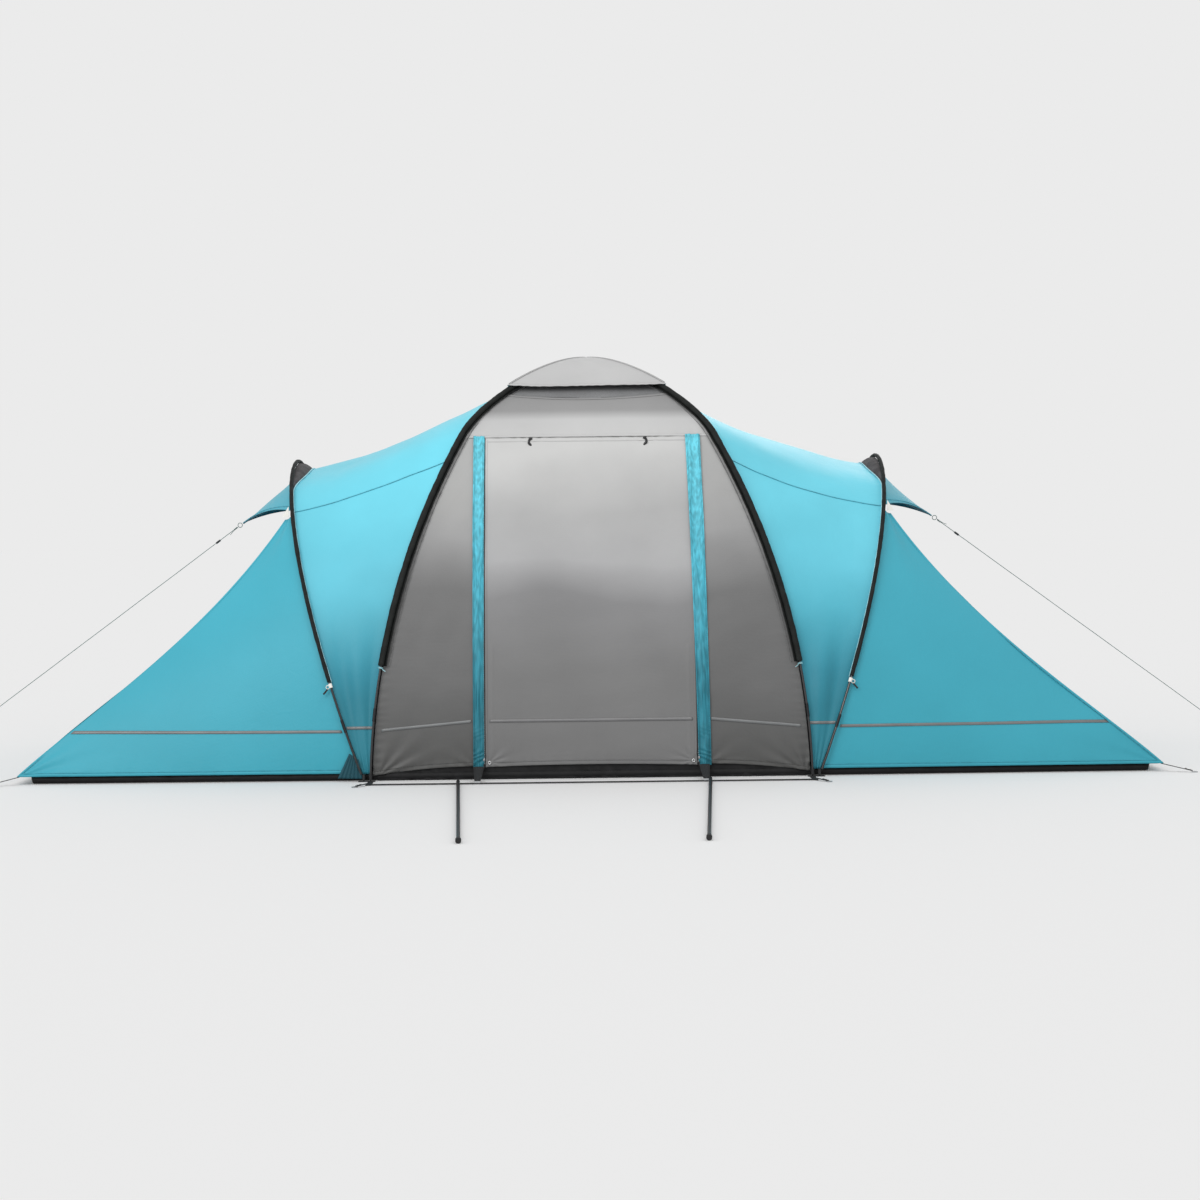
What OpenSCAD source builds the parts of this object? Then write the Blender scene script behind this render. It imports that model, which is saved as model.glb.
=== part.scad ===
// Camping tent with a domed living bay between two sleeping bays.
// Frame: +X along the tent, -Y towards the door, +Z up, origin on the ground under the crossing
// of the two main poles. Millimetres throughout.

/* [Living bay] */
// Half distance between the main pole feet, along the tent
foot_x = 1000; // [980:5:1020]
// Half distance between the main pole feet, across the tent
foot_y = 1050; // [1030:5:1070]
// Height of the crossing of the main poles
dome_h = 1955; // [1930:5:1980]
// Height of the top of the door
door_top = 1575; // [1560:5:1590]
// Width of the door panel
door_w = 960; // [900:10:980]
// Width of the strip that shields each door zip
strip_w = 46; // [30:2:60]

/* [Sleeping bays] */
// Height of the arch pole that stands between a sleeping bay and its sloping end
arch_h = 1475; // [1450:5:1500]
// Half distance between the two arch pole feet on one side and the other
arch_foot_x = 1030; // [1028:1:1040]
// How far the crown of an arch leans outwards from its feet
arch_lean = 400; // [380:5:420]
// Half length of the fabric at the ground
end_x = 2600; // [2560:10:2640]
// Half width of the fabric at the end corners
end_y = 1010; // [990:5:1030]
// How far the left sleeping bay's roof sags between its two poles
roof_sag_left = 38; // [30:1:60]
// How far the right sleeping bay's roof sags
roof_sag_right = 70; // [50:1:100]
// Height of the end corners' fabric above the ground
hem_z = 35; // [30:1:40]

/* [Poles and sleeves] */
// Radius of a fibreglass pole
pole_r = 5.5; // [4.5:0.5:6]
// Outer radius of a pole sleeve
sleeve_r = 14; // [12:0.5:14]
// Height at which the main sleeves end
sleeve_end_z = 520; // [400:10:600]
// Height at which the arch sleeves end
arch_sleeve_z = 450; // [400:10:520]

/* [Canopy poles] */
// Length of a canopy pole from foot cap to shoulder
canopy_len = 1830; // [1780:5:1850]
// Radius of a canopy pole tube
canopy_r = 8; // [7:0.5:9]
// Radius of its foot cap
canopy_cap_r = 11; // [10:0.5:12]

/* [Guy lines] */
// Distance from the tent's centre to the ring that pegs a guy line
guy_x = 3300; // [3250:10:3350]
// Radius of a guy line
guy_r = 1.5; // [1:0.25:2]
// Inner radius of the rings that take a peg
ring_r = 9; // [8:0.5:10]

/* [Hidden] */
$fn = 48;

// Fabric shells are this thick and hang this far inside the poles' centre lines.
skin = 3;
inset = 19;
gap = 2;
// Radius and height of centre of the arc that the door, its zips and the lower poles follow.
arc_r = 3400;
arc_z0 = -80;
arc_c = foot_y - sqrt(arc_r * arc_r - arc_z0 * arc_z0);
// Share of a pole's leg, from foot to crossing, at the door's top, the vent's lower edge and the
// roof cap's eave.
door_w_share = 0.68;
vent_share = 0.795;
cap_share = 0.824;
cap_lift = 20;
panel_z = 52;
// The arch's angle at which the hood and the end seams start.
seam_a = 57;
hood_tip = [1715, 0, 1170];
// The hood's root lies this far under the arch's crown, its middle hangs slack below the straight
// line to its point, and its two edges are drawn up a little.
hood_drop = 45;
hood_slack = 40;
hood_lift = 30;
strip_x = 512;
tape_in = door_w / 2 + gap;
canopy_foot_y = -3000;
canopy_tip_y = -1140;
// Where each canopy pole's foot and tip point lie along the tent.
canopy_left_x = [-500, -600];
canopy_right_x = [415, 532];
runner_at = 120;
// Heights of the middles of the joints in the main poles and in the arch poles.
main_joint_z = 300;
arch_joint_z = 250;
// A sleeping cabin: where it starts and ends along the tent, its half width at the floor, the
// half width and far end of its ceiling, its height, and its doorway's width, height and sill.
cabin_x = [1045, 2350];
cabin_y = 920;
ceiling_y = 330;
ceiling_x = 1250;
cabin_h = 1300;
inner_door = [560, 980];
sill_z = 90;
// How far the groundsheet stays inside the fabric at the ends, along the sides and at the feet.
floor_in = [60, 12, 26];
// How far the base strap is drawn outwards from the main pole feet, between their webbing tabs.
base_strap_out = 150;

ink = [0.09, 0.09, 0.10];
aqua = [0.30, 0.75, 0.86];
teal = [0.22, 0.62, 0.72];
grey = [0.60, 0.60, 0.61];

// ---------- profiles ----------

// Outward distance of the living bay's face from its centre plane at height z.
function arc_out(z) = arc_c + sqrt(arc_r * arc_r - pow(z - arc_z0, 2));
function mix(a, b, t) = a + (b - a) * t;
function unit(v) = v / norm(v);

crown_0 = [arc_out(door_top), door_top];
crown_dir = [-(door_top - arc_z0) / arc_r, sqrt(1 - pow((door_top - arc_z0) / arc_r, 2))];
crown_1 = crown_0 + 180 * crown_dir;
crown_2 = [200, dome_h];
crown_3 = [0, dome_h];
function crown(s) = pow(1 - s, 3) * crown_0 + 3 * s * pow(1 - s, 2) * crown_1
    + 3 * s * s * (1 - s) * crown_2 + pow(s, 3) * crown_3;

// A leg of a main pole as [outward distance, height]; w runs from 0 at the foot to 1 on top.
function leg(w) = w <= door_w_share
    ? [arc_out(door_top * w / door_w_share), door_top * w / door_w_share]
    : crown((w - door_w_share) / (1 - door_w_share));
function leg_slope(w) = unit(leg(min(1, w + 0.004)) - leg(max(0, w - 0.004)));
// The same leg moved inwards by d, square to itself.
function leg_in(w, d) = leg(w) - d * [leg_slope(w)[1], -leg_slope(w)[0]];
function height_share(z) = door_w_share * z / door_top;

// A point of the front right leg.
function leg_pt(w, d = 0) = let(p = leg_in(w, d)) [foot_x / foot_y * p[0], -p[0], p[1]];

// The right arch pole: a is 0 at its front foot, 90 at its crown and 180 at its back foot.
function arch_pt(a, d = 0) = [
    arch_foot_x + arch_lean * (1 - pow(1 - sin(a), 1.35)),
    -(foot_y - d) * cos(a),
    (arch_h - d) * sin(a)
];
function arch_angle(z) = asin(z / arch_h);

// ---------- generic solids ----------

// Draws on the right for side 1, and mirrored to the left for side -1.
module handed(side) { if (side < 0) mirror([1, 0, 0]) children(); else children(); }
// Draws at the front for face -1, and mirrored to the back for face 1.
module faced(face) { if (face > 0) mirror([0, 1, 0]) children(); else children(); }

function grid_normal(g, i, j) = let(
    r = len(g) - 1, c = len(g[0]) - 1,
    du = g[min(i + 1, r)][j] - g[max(i - 1, 0)][j],
    dv = g[i][min(j + 1, c)] - g[i][max(j - 1, 0)]) unit(cross(du, dv));

// Does the other diagonal of a grid's cell lie higher than its first one?
function other_higher(g, i, j) = g[i][j][2] + g[i + 1][j + 1][2] < g[i + 1][j][2] + g[i][j + 1][2];

// A cloth-like closed shell of thickness t around a grid of points. Each cell is split along its
// first diagonal, or with ridged along the higher one, which keeps hips sharp.
module sheet(g, t = skin, ridged = false) {
    r = len(g);
    c = len(g[0]);
    n = r * c;
    top = [for (i = [0:r - 1]) for (j = [0:c - 1]) g[i][j] + grid_normal(g, i, j) * t / 2];
    low = [for (i = [0:r - 1]) for (j = [0:c - 1]) g[i][j] - grid_normal(g, i, j) * t / 2];
    edge = concat(
        [for (j = [0:c - 2]) j],
        [for (i = [0:r - 2]) i * c + c - 1],
        [for (j = [c - 1:-1:1]) (r - 1) * c + j],
        [for (i = [r - 1:-1:1]) i * c]);
    m = len(edge);
    faces = concat(
        [for (i = [0:r - 2]) for (j = [0:c - 2])
            let(a = i * c + j, flip = ridged && other_higher(g, i, j)) each (flip
                ? [[a, a + 1, a + c], [a + 1, a + c + 1, a + c]]
                : [[a, a + 1, a + c + 1], [a, a + c + 1, a + c]])],
        [for (i = [0:r - 2]) for (j = [0:c - 2])
            let(a = n + i * c + j, flip = ridged && other_higher(g, i, j)) each (flip
                ? [[a, a + c, a + 1], [a + 1, a + c, a + c + 1]]
                : [[a, a + c + 1, a + 1], [a, a + c, a + c + 1]])],
        [for (k = [0:m - 1]) let(a = edge[k], b = edge[(k + 1) % m]) each
            [[a, a + n, b + n], [a, b + n, b]]]);
    polyhedron(points = concat(top, low), faces = faces);
}

function path_dir(p, i) = unit(p[min(i + 1, len(p) - 1)] - p[max(i - 1, 0)]);
function ring_at(p, i, ref, ra, rb, n) = let(
    t = path_dir(p, i), s = unit(cross(t, ref)), u = cross(s, t))
    [for (k = [0:n - 1]) p[i] + s * ra * cos(k * 360 / n) + u * rb * sin(k * 360 / n)];

// A solid tube along a path; ref is any direction that the path never runs in.
module tube(p, r, ref, n = 8) {
    m = len(p);
    pts = [for (i = [0:m - 1]) each ring_at(p, i, ref, r, r, n)];
    sides = [for (i = [0:m - 2]) for (k = [0:n - 1])
        let(a = i * n + k, b = i * n + (k + 1) % n) each [[a, b, b + n], [a, b + n, a + n]]];
    polyhedron(points = pts, faces = concat(sides,
        [[for (k = [n - 1:-1:0]) k]], [[for (k = [0:n - 1]) (m - 1) * n + k]]));
}

// The same tube with a bore of radius rin.
module hollow_tube(p, r, rin, ref, n = 8) {
    m = len(p);
    k2 = m * n;
    outer = [for (i = [0:m - 1]) each ring_at(p, i, ref, r, r, n)];
    inner = [for (i = [0:m - 1]) each ring_at(p, i, ref, rin, rin, n)];
    skin_faces = [for (i = [0:m - 2]) for (k = [0:n - 1])
        let(a = i * n + k, b = i * n + (k + 1) % n) each [[a, b, b + n], [a, b + n, a + n]]];
    bore_faces = [for (f = skin_faces) [k2 + f[0], k2 + f[2], k2 + f[1]]];
    ends = [for (k = [0:n - 1]) let(b = (k + 1) % n, e = (m - 1) * n) each [
        [k, k2 + k, k2 + b], [k, k2 + b, b],
        [e + k, e + b, k2 + e + b], [e + k, k2 + e + b, k2 + e + k]]];
    polyhedron(points = concat(outer, inner), faces = concat(skin_faces, bore_faces, ends));
}

// A flat washer on the ground.
module washer(r_out, r_in, h) {
    difference() {
        cylinder(r = r_out, h = h);
        translate([0, 0, -1]) cylinder(r = r_in, h = h + 2);
    }
}

// ---------- floor ----------

module floor_outline(d) {
    x = end_x - floor_in[0] - d;
    y = end_y - floor_in[1] - d;
    y_foot = foot_y - floor_in[2] - d;
    polygon([[-x, -y], [-foot_x, -y_foot], [foot_x, -y_foot], [x, -y],
        [x, y], [foot_x, y_foot], [-foot_x, y_foot], [-x, y]]);
}

module groundsheet() {
    color(ink) difference() {
        linear_extrude(26) floor_outline(0);
        translate([0, 0, 3]) linear_extrude(26) floor_outline(4);
    }
}

// ---------- poles ----------

// How far pole b passes under pole a where they cross.
cross_dip = 2 * pole_r + 1.5;
pole_start = height_share(34);
function main_leg(dip) = [for (k = [0:28]) let(w = mix(pole_start, 1, k / 28), p = leg_pt(w))
    [p[0], p[1], p[2] - dip * pow(w, 16)]];
function reversed(p) = [for (k = [len(p) - 1:-1:0]) p[k]];
function main_path(dip) = concat(main_leg(dip),
    [for (p = reversed([for (k = [0:27]) main_leg(dip)[k]])) [-p[0], -p[1], p[2]]]);

module pole_main(dip) {
    p = main_path(dip);
    tube(p, pole_r, [foot_y, foot_x, 0]);
}
module pole_main_a() { color("dimgray") pole_main(0); }
module pole_main_b() { color("dimgray") mirror([1, 0, 0]) pole_main(cross_dip); }

function arch_path(a0, a1, n) = [for (k = [0:n]) arch_pt(mix(a0, a1, k / n))];
module pole_arch(side) {
    a0 = arch_angle(34);
    color("dimgray") handed(side) tube(arch_path(a0, 180 - a0, 52), pole_r, [1, 0, -0.3]);
}

// Metal sleeves that join the pole sections, where the sections meet outside the fabric sleeves.
module ferrule(p, q) {
    d = q - p;
    translate(p) rotate([0, acos(d[2] / norm(d)), atan2(d[1], d[0])])
        translate([0, 0, -30]) difference() {
            cylinder(r = pole_r + 1.6, h = 60);
            translate([0, 0, -1]) cylinder(r = pole_r + 0.7, h = 62);
        }
}
module pole_ferrules() {
    color("silver") {
        for (sx = [-1, 1]) for (face = [-1, 1]) handed(sx) faced(face) {
            w = height_share(main_joint_z);
            ferrule(leg_pt(w), leg_pt(w + 0.01));
            a = arch_angle(arch_joint_z);
            ferrule(arch_pt(a), arch_pt(a + 1));
        }
    }
}

// Loop that keeps the two main poles together where they cross.
module crossing_tie() {
    color("black") translate([0, 2, dome_h - cross_dip / 2]) rotate([90, 0, 0])
        washer(16.5, 14.5, 4);
}

// Fabric sleeve over a main pole, from above its lower end to under the roof cap.
module sleeve_main(side, face) {
    p = [for (k = [0:22]) leg_pt(mix(height_share(sleeve_end_z), 0.88, k / 22))];
    color(ink) handed(side) faced(face)
        hollow_tube(p, sleeve_r, sleeve_r - 4, [foot_y, foot_x, 0]);
}
module sleeve_arch(side) {
    a0 = arch_angle(arch_sleeve_z);
    color(ink) handed(side)
        hollow_tube(arch_path(a0, 180 - a0, 36), sleeve_r, sleeve_r - 4, [1, 0, -0.3]);
}

// ---------- living bay fabric ----------

// Half width of the face between its two poles at leg share w.
function face_half(w) = foot_x / foot_y * leg_in(w, inset)[0] - 14;
// A point of the front face at leg share w, d further out than the fabric.
function face_pt(x, w, d = 0) = let(p = leg_in(w, inset - d)) [x, -p[0], p[1]];

// A part of the front face between the leg shares wa and wb and the widths xa and xb;
// an xb of 0 runs to the pole.
module face_panel(xa, xb, wa, wb, rows, d = 0, t = skin) {
    sheet([for (i = [0:rows]) let(w = mix(wa, wb, i / rows))
        [face_pt(xa, w, d), face_pt(xb == 0 ? face_half(w) : xb, w, d)]], t);
}

module front_side(side) {
    color(grey) handed(side)
        face_panel(strip_x - strip_w / 2 + 6, 0, height_share(panel_z), door_w_share, 18);
}
module front_panel_top() {
    color(grey) sheet([for (i = [0:8]) let(w = mix(door_w_share + 0.002, vent_share, i / 8))
        [face_pt(-face_half(w), w), face_pt(face_half(w), w)]]);
}
module back_panel() {
    color(grey) faced(1) sheet([for (i = [0:24])
        let(w = mix(height_share(panel_z), vent_share, i / 24))
        [face_pt(-face_half(w), w), face_pt(face_half(w), w)]]);
}
module door_panel() {
    color(grey) face_panel(-door_w / 2, door_w / 2, height_share(60), height_share(door_top - 8), 18);
}
module vent_mesh(face) {
    color([0.25, 0.25, 0.26]) faced(face)
        sheet([for (i = [0:4]) let(w = mix(vent_share + 0.002, cap_share + 0.03, i / 4))
            [face_pt(-face_half(w), w), face_pt(face_half(w), w)]], 1.5);
}
module storm_strips() {
    color(aqua) for (side = [-1, 1]) handed(side)
        face_panel(strip_x - strip_w / 2 + 6, strip_x + strip_w / 2,
            height_share(58), height_share(door_top - 6), 18, 5, 2);
}
module zip_tapes() {
    color(ink) for (side = [-1, 1]) handed(side)
        face_panel(tape_in, strip_x - strip_w / 2 + 4,
            height_share(58), height_share(door_top - 6), 18, 0, 2);
}
// Zip slider with its pull, resting at the zip's lower end.
module zip_slider(side) {
    x = (tape_in + strip_x - strip_w / 2 + 4) / 2;
    p = face_pt(x, height_share(86), 2.2);
    color("black") handed(side) translate(p) rotate([-2.8, 0, 0]) {
        translate([-4, -5, -11]) cube([8, 5, 22]);
        translate([-3, -7, -34]) cube([6, 2, 30]);
    }
}
// Toggles on the door's top hem that hold it when it is rolled up.
module door_toggles() {
    for (x = [-268, 268]) color("black")
        translate(face_pt(x, height_share(door_top - 34), 2)) rotate([-28, 0, 0]) {
            translate([-3, -2.5, -6]) cube([6, 2, 30]);
            translate([-14, -6, -11]) rotate([0, 90, 0]) cylinder(r = 4.5, h = 28);
        }
}
module door_eyelets() {
    for (side = [-1, 1]) color("silver") handed(side)
        translate(face_pt(462, height_share(78), 1.9)) rotate([87.2, 0, 0])
            washer(8, 4.2, 2);
}
module skirt(face) {
    color(ink) faced(face)
        face_panel(-foot_x + 45, foot_x - 45, height_share(3), height_share(panel_z - 2), 2);
}

// ---------- roof ----------

function cap_pt(a, b) = let(
    m = max(abs(a), abs(b)), p = leg_in(1 - (1 - cap_share) * m, -cap_lift))
    m == 0 ? [0, 0, dome_h + cap_lift] : [foot_x / foot_y * p[0] * a / m, p[0] * b / m, p[1]];
module roof_cap() {
    n = 6;
    color([0.75, 0.75, 0.76])
        sheet([for (i = [-n:n]) [for (j = [-n:n]) cap_pt(i / n, j / n)]], ridged = true);
}

// The sleeping bay's roof: a is the arch's angle and u runs from the main poles to the arch.
function roof_pt(a, u, sag) = let(
    w = a <= 90 ? a / 90 : 2 - a / 90, p = leg_in(w, inset), q = arch_pt(a, inset),
    d = [foot_x / foot_y * p[0] + 16, (a <= 90 ? -1 : 1) * p[0], p[1]],
    s = sag * 4 * u * (1 - u) * pow(sin(a), 3))
    mix(d, [q[0] - 5, q[1], q[2]], u) + s * [0, cos(a), -sin(a)];
module bedroom_roof(side) {
    sag = side < 0 ? roof_sag_left : roof_sag_right;
    color(aqua) handed(side)
        sheet([for (i = [0:32]) let(a = mix(4, 176, i / 32)) [for (j = [0:6]) roof_pt(a, j / 6, sag)]]);
}

// The seam between an end's side and its sloping face: f is 0 at the ground and 1 on the arch.
function seam_pt(f) = let(
    p = arch_pt(seam_a, inset), c = [end_x, -end_y, hem_z], s = 4 * f * (1 - f) * sqrt(f))
    mix(c, [p[0] + 5, p[1], p[2]], f) - s * [60, -20, 70];
function flip_y(p) = [p[0], -p[1], p[2]];
function end_leg(f) = let(p = arch_pt(mix(arch_angle(hem_z), seam_a, f), inset)) [p[0] + 5, p[1], p[2]];
module end_panel(side) {
    n = 5;
    color(teal) handed(side) sheet([for (i = [0:20]) let(f = 0.975 * i / 20, l = end_leg(f), s = seam_pt(f))
        concat(
            [for (j = [0:n - 1]) mix(l, s, j / n)],
            [for (j = [0:n - 1]) mix(s, flip_y(s), j / n)],
            [for (j = [0:n]) mix(flip_y(s), flip_y(l), j / n)])]);
}
module end_vent(side) {
    lip = arch_pt(seam_a, inset);
    color([0.25, 0.25, 0.26]) handed(side) sheet([for (i = [0:12])
        let(a = mix(seam_a + 3, 177 - seam_a, i / 12), p = arch_pt(a, inset + 3))
        [for (j = [0:2]) mix([lip[0] - 2, p[1], lip[2] + 2], [p[0] - 2, p[1], p[2]], j / 2)]], 1.5);
}
// Hood over the end vent, drawn out to a point by its guy line.
function hood_pt(a, r) = let(p = arch_pt(a, inset - 2), b = pow((a - 90) / (90 - seam_a), 2))
    mix([p[0] + 6, p[1], p[2] - hood_drop * (1 - b)], hood_tip, r)
    + [0, 0, hood_lift * 4 * r * (1 - r) * b - hood_slack * sqrt(r) * (1 - r) * (1 - b)];
module hood(side) {
    color(teal) handed(side) sheet([for (i = [0:12]) let(a = mix(seam_a + 0.5, 179.5 - seam_a, i / 12))
        [for (j = [0:5]) hood_pt(a, 0.02 + 0.92 * j / 5)]]);
}
// White stiffener that props each corner of a hood off the vent.
module vent_props() {
    for (side = [-1, 1]) for (face = [-1, 1]) {
        p = arch_pt(seam_a - 1);
        color("white") handed(side) faced(face) translate([p[0] + sleeve_r + 2, p[1] - 4, p[2]])
            rotate([90, 0, 0]) linear_extrude(2) polygon([[0, -24], [0, 26], [32, -24]]);
    }
}

// ---------- inner tents ----------

// Solid of a sleeping cabin, d smaller all round.
module cabin(d) {
    x0 = cabin_x[0] + d;
    x1 = cabin_x[1] - 1.3 * d;
    x2 = ceiling_x - 0.6 * d;
    y0 = cabin_y - d;
    y1 = cabin_y - 20 - d;
    y2 = ceiling_y - d;
    z0 = 6 + d;
    z1 = cabin_h - d;
    polyhedron(
        points = [
            [x0, -y0, z0], [x1, -y1, z0], [x1, y1, z0], [x0, y0, z0],
            [x0, -y2, z1], [x2, -y2, z1], [x2, y2, z1], [x0, y2, z1]],
        faces = [
            [0, 1, 2], [0, 2, 3], [4, 6, 5], [4, 7, 6], [0, 5, 1], [0, 4, 5],
            [1, 5, 6], [1, 6, 2], [2, 6, 7], [2, 7, 3], [3, 7, 4], [3, 4, 0]]);
}
module inner_tent(side) {
    color([0.86, 0.86, 0.84]) handed(side) difference() {
        cabin(0);
        cabin(skin);
        translate([cabin_x[0] - 10, -inner_door[0] / 2, sill_z]) cube([30, inner_door[0], inner_door[1]]);
    }
}
module inner_door_leaf(side) {
    color([0.80, 0.80, 0.78]) handed(side)
        translate([cabin_x[0], -inner_door[0] / 2 + 3, sill_z + 3])
            cube([skin, inner_door[0] - 6, inner_door[1] - 6]);
}

// ---------- feet, straps and rings ----------

// Plastic plug with a pin on a pole's end, standing on a webbing tab.
module pole_plug() {
    translate([0, 0, 9]) cylinder(r = pole_r + 2, h = 24.5);
    translate([0, 0, 2.5]) cylinder(r = 3, h = 7);
}
module pole_feet() {
    color("black") for (sx = [-1, 1]) for (sy = [-1, 1]) {
        translate([sx * foot_x, sy * foot_y, 0]) pole_plug();
        translate([sx * arch_foot_x, sy * foot_y, 0]) pole_plug();
    }
}
// Where a webbing strap starts and the ring it ends in, for the front right corners.
strap_runs = [
    [[foot_x - 2, -foot_y - base_strap_out], [foot_x + 50, -foot_y - base_strap_out - 70]],
    [[end_x - 6, -end_y - 6], [end_x + 128, -end_y - 62]],
];
module strap_run(r) {
    d = r[1] - r[0];
    translate([r[0][0], r[0][1], 0.6]) rotate([0, 0, atan2(d[1], d[0])])
        translate([0, -9, 0]) cube([norm(d) - ring_r - 6.5, 18, 1.8]);
}
module corner_straps() {
    color(ink) for (side = [-1, 1]) for (face = [-1, 1]) handed(side) faced(face) {
        for (r = strap_runs) strap_run(r);
        translate([foot_x - 22, -foot_y - 20, 0.4]) cube([76, 38, 1.8]);
        translate([foot_x - 18, -foot_y - base_strap_out - 9, 0.4])
            cube([30, base_strap_out, 1.8]);
    }
}
module peg_rings() {
    color("silver") for (side = [-1, 1]) for (face = [-1, 1]) for (r = strap_runs)
        translate([side * r[1][0], -face * r[1][1], 0]) washer(ring_r + 5, ring_r, 4);
}
module base_straps() {
    color(ink) for (sy = [-1, 1])
        translate([-foot_x + 19, sy * (foot_y + base_strap_out) - 9, 0.6])
            cube([2 * foot_x - 38, 18, 1.8]);
}
// Tapered tab from the foot of each door zip down to the base strap, with its grey hook.
module strap_hooks() {
    for (side = [-1, 1]) handed(side) {
        color(ink) hull() {
            translate([strip_x - 16, -foot_y - 2, 50]) cube([30, 2, 4]);
            translate([strip_x - 7, -foot_y - base_strap_out, 4]) cube([12, 3, 3]);
        }
        color("gray") translate([strip_x - 8, -foot_y - base_strap_out - 2, 4.6]) rotate([0, 90, 0])
            cylinder(r = 2, h = 14);
    }
}

// ---------- trim ----------

stripe_z = 238;
stripe_h = 13;
module stripe_face(xa, xb, d) {
    face_panel(xa, xb, height_share(stripe_z), height_share(stripe_z + stripe_h), 1, d, 1);
}
// A point of the end's side wall at height z, moved outwards by d.
function end_side_pt(z, u, d) = let(
    f = mix(0.118, 0.168, u) * (z - hem_z) / 185, p = mix(end_leg(f), seam_pt(f), u))
    [p[0], p[1] - d, p[2]];
module reflective_stripes() {
    color("silver") for (side = [-1, 1]) handed(side) {
        stripe_face(strip_x + strip_w / 2 + 4, face_half(0.1) - 8, 3);
        for (face = [-1, 1]) faced(face) sheet([
            [for (j = [0:8]) end_side_pt(218, mix(0.03, 0.985, j / 8), 4.5)],
            [for (j = [0:8]) end_side_pt(218 + stripe_h, mix(0.03, 0.985, j / 8), 4.5)]], 1);
    }
    color("silver") faced(1) stripe_face(-face_half(0.1) + 8, face_half(0.1) - 8, 3);
}
// Band that ties the lower end of each main sleeve to its pole.
module sleeve_ties() {
    for (side = [-1, 1]) for (face = [-1, 1]) {
        w = height_share(sleeve_end_z - 18);
        p = leg_pt(w);
        q = leg_pt(w + 0.01);
        d = q - p;
        color("silver") handed(side) faced(face)
            translate(p) rotate([0, acos(d[2] / norm(d)), atan2(d[1], d[0])]) difference() {
                translate([0, 0, -5]) cylinder(r = 10, h = 10);
                translate([0, 0, -6]) cylinder(r = pole_r + 0.6, h = 12);
            }
    }
}
// Clip that holds the fabric to each arch pole below its sleeve.
module arch_clips() {
    for (side = [-1, 1]) for (face = [-1, 1]) {
        a = arch_angle(arch_sleeve_z - 18);
        p = arch_pt(a);
        q = arch_pt(a + 1);
        d = q - p;
        color("whitesmoke") handed(side) faced(face)
            translate(p) rotate([0, acos(d[2] / norm(d)), atan2(d[1], d[0])]) difference() {
                translate([0, 0, -8]) cylinder(r = 10, h = 16);
                translate([0, 0, -9]) cylinder(r = pole_r + 0.6, h = 18);
            }
    }
}

// ---------- guy lines ----------

// The taut right-hand line, from the hood's point to its ring on the ground.
guy_path = [
    [1740, 0, 1152], [1900, 0, 1035], [2060, 0, 917], [2220, 0, 800], [2380, 0, 682],
    [2540, 0, 565], [2700, 0, 447], [2860, 0, 330], [3020, 0, 212], [3180, 0, 95], [3290, 0, 14]];
guy_dir = unit(guy_path[10] - guy_path[0]);
guy_tilt = acos(guy_dir[2]);
module guy_line(side) { color("seagreen") handed(side) tube(guy_path, guy_r, [0, 1, 0]); }
// Slider on the line that shortens it.
module guy_runner(side) {
    color("black") handed(side) translate(guy_path[0] + guy_dir * runner_at) rotate([0, guy_tilt, 0])
        difference() {
            translate([0, 0, -13]) cylinder(r = 5, h = 26);
            translate([0, 0, -14]) cylinder(r = guy_r + 0.8, h = 28);
        }
}
module guy_rings() {
    color("silver") for (side = [-1, 1]) translate([side * (guy_x + 12), 0, 0])
        washer(ring_r + 5, ring_r, 4);
}

// ---------- canopy poles ----------

module canopy_place(xs) {
    translate([xs[0], canopy_foot_y, canopy_cap_r])
        rotate([0, 0, atan2(canopy_tip_y - canopy_foot_y, xs[1] - xs[0])]) rotate([0, 90, 0]) children();
}
module canopy_pole(xs) {
    color(ink) canopy_place(xs) {
        difference() {
            translate([0, 0, 8]) cylinder(r = canopy_r, h = canopy_len - 8);
            translate([0, 0, 7]) cylinder(r = canopy_r - 1, h = canopy_len - 30);
        }
        translate([0, 0, canopy_len]) cylinder(r = 3, h = 26);
    }
}
// Rubber foot on the pole's lower end.
module canopy_cap(xs) {
    color("black") canopy_place(xs) difference() {
        translate([0, 0, 0]) cylinder(r = canopy_cap_r, h = 34);
        translate([0, 0, 6]) cylinder(r = canopy_r + 0.1, h = 30);
    }
}

groundsheet();
pole_main_a();
pole_main_b();
pole_arch(-1);  // pole_arch_left
pole_arch(1);  // pole_arch_right
pole_ferrules();
crossing_tie();
sleeve_main(-1, -1);  // sleeve_front_left
sleeve_main(1, -1);  // sleeve_front_right
sleeve_main(-1, 1);  // sleeve_back_left
sleeve_main(1, 1);  // sleeve_back_right
sleeve_arch(-1);  // sleeve_arch_left
sleeve_arch(1);  // sleeve_arch_right
roof_cap();
vent_mesh(-1);  // vent_mesh_front
vent_mesh(1);  // vent_mesh_back
front_side(-1);  // front_panel_left
front_side(1);  // front_panel_right
front_panel_top();
door_panel();
storm_strips();
zip_tapes();
zip_slider(-1);  // zip_slider_left
zip_slider(1);  // zip_slider_right
door_toggles();
door_eyelets();
back_panel();
bedroom_roof(-1);  // bedroom_roof_left
bedroom_roof(1);  // bedroom_roof_right
end_panel(-1);  // end_panel_left
end_panel(1);  // end_panel_right
end_vent(-1);  // end_vent_left
end_vent(1);  // end_vent_right
hood(-1);  // hood_left
hood(1);  // hood_right
vent_props();
skirt(-1);  // skirt_front
skirt(1);  // skirt_back
inner_tent(-1);  // inner_tent_left
inner_tent(1);  // inner_tent_right
inner_door_leaf(-1);  // inner_door_left
inner_door_leaf(1);  // inner_door_right
pole_feet();
corner_straps();
peg_rings();
base_straps();
strap_hooks();
reflective_stripes();
sleeve_ties();
arch_clips();
guy_line(-1);  // guy_line_left
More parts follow.
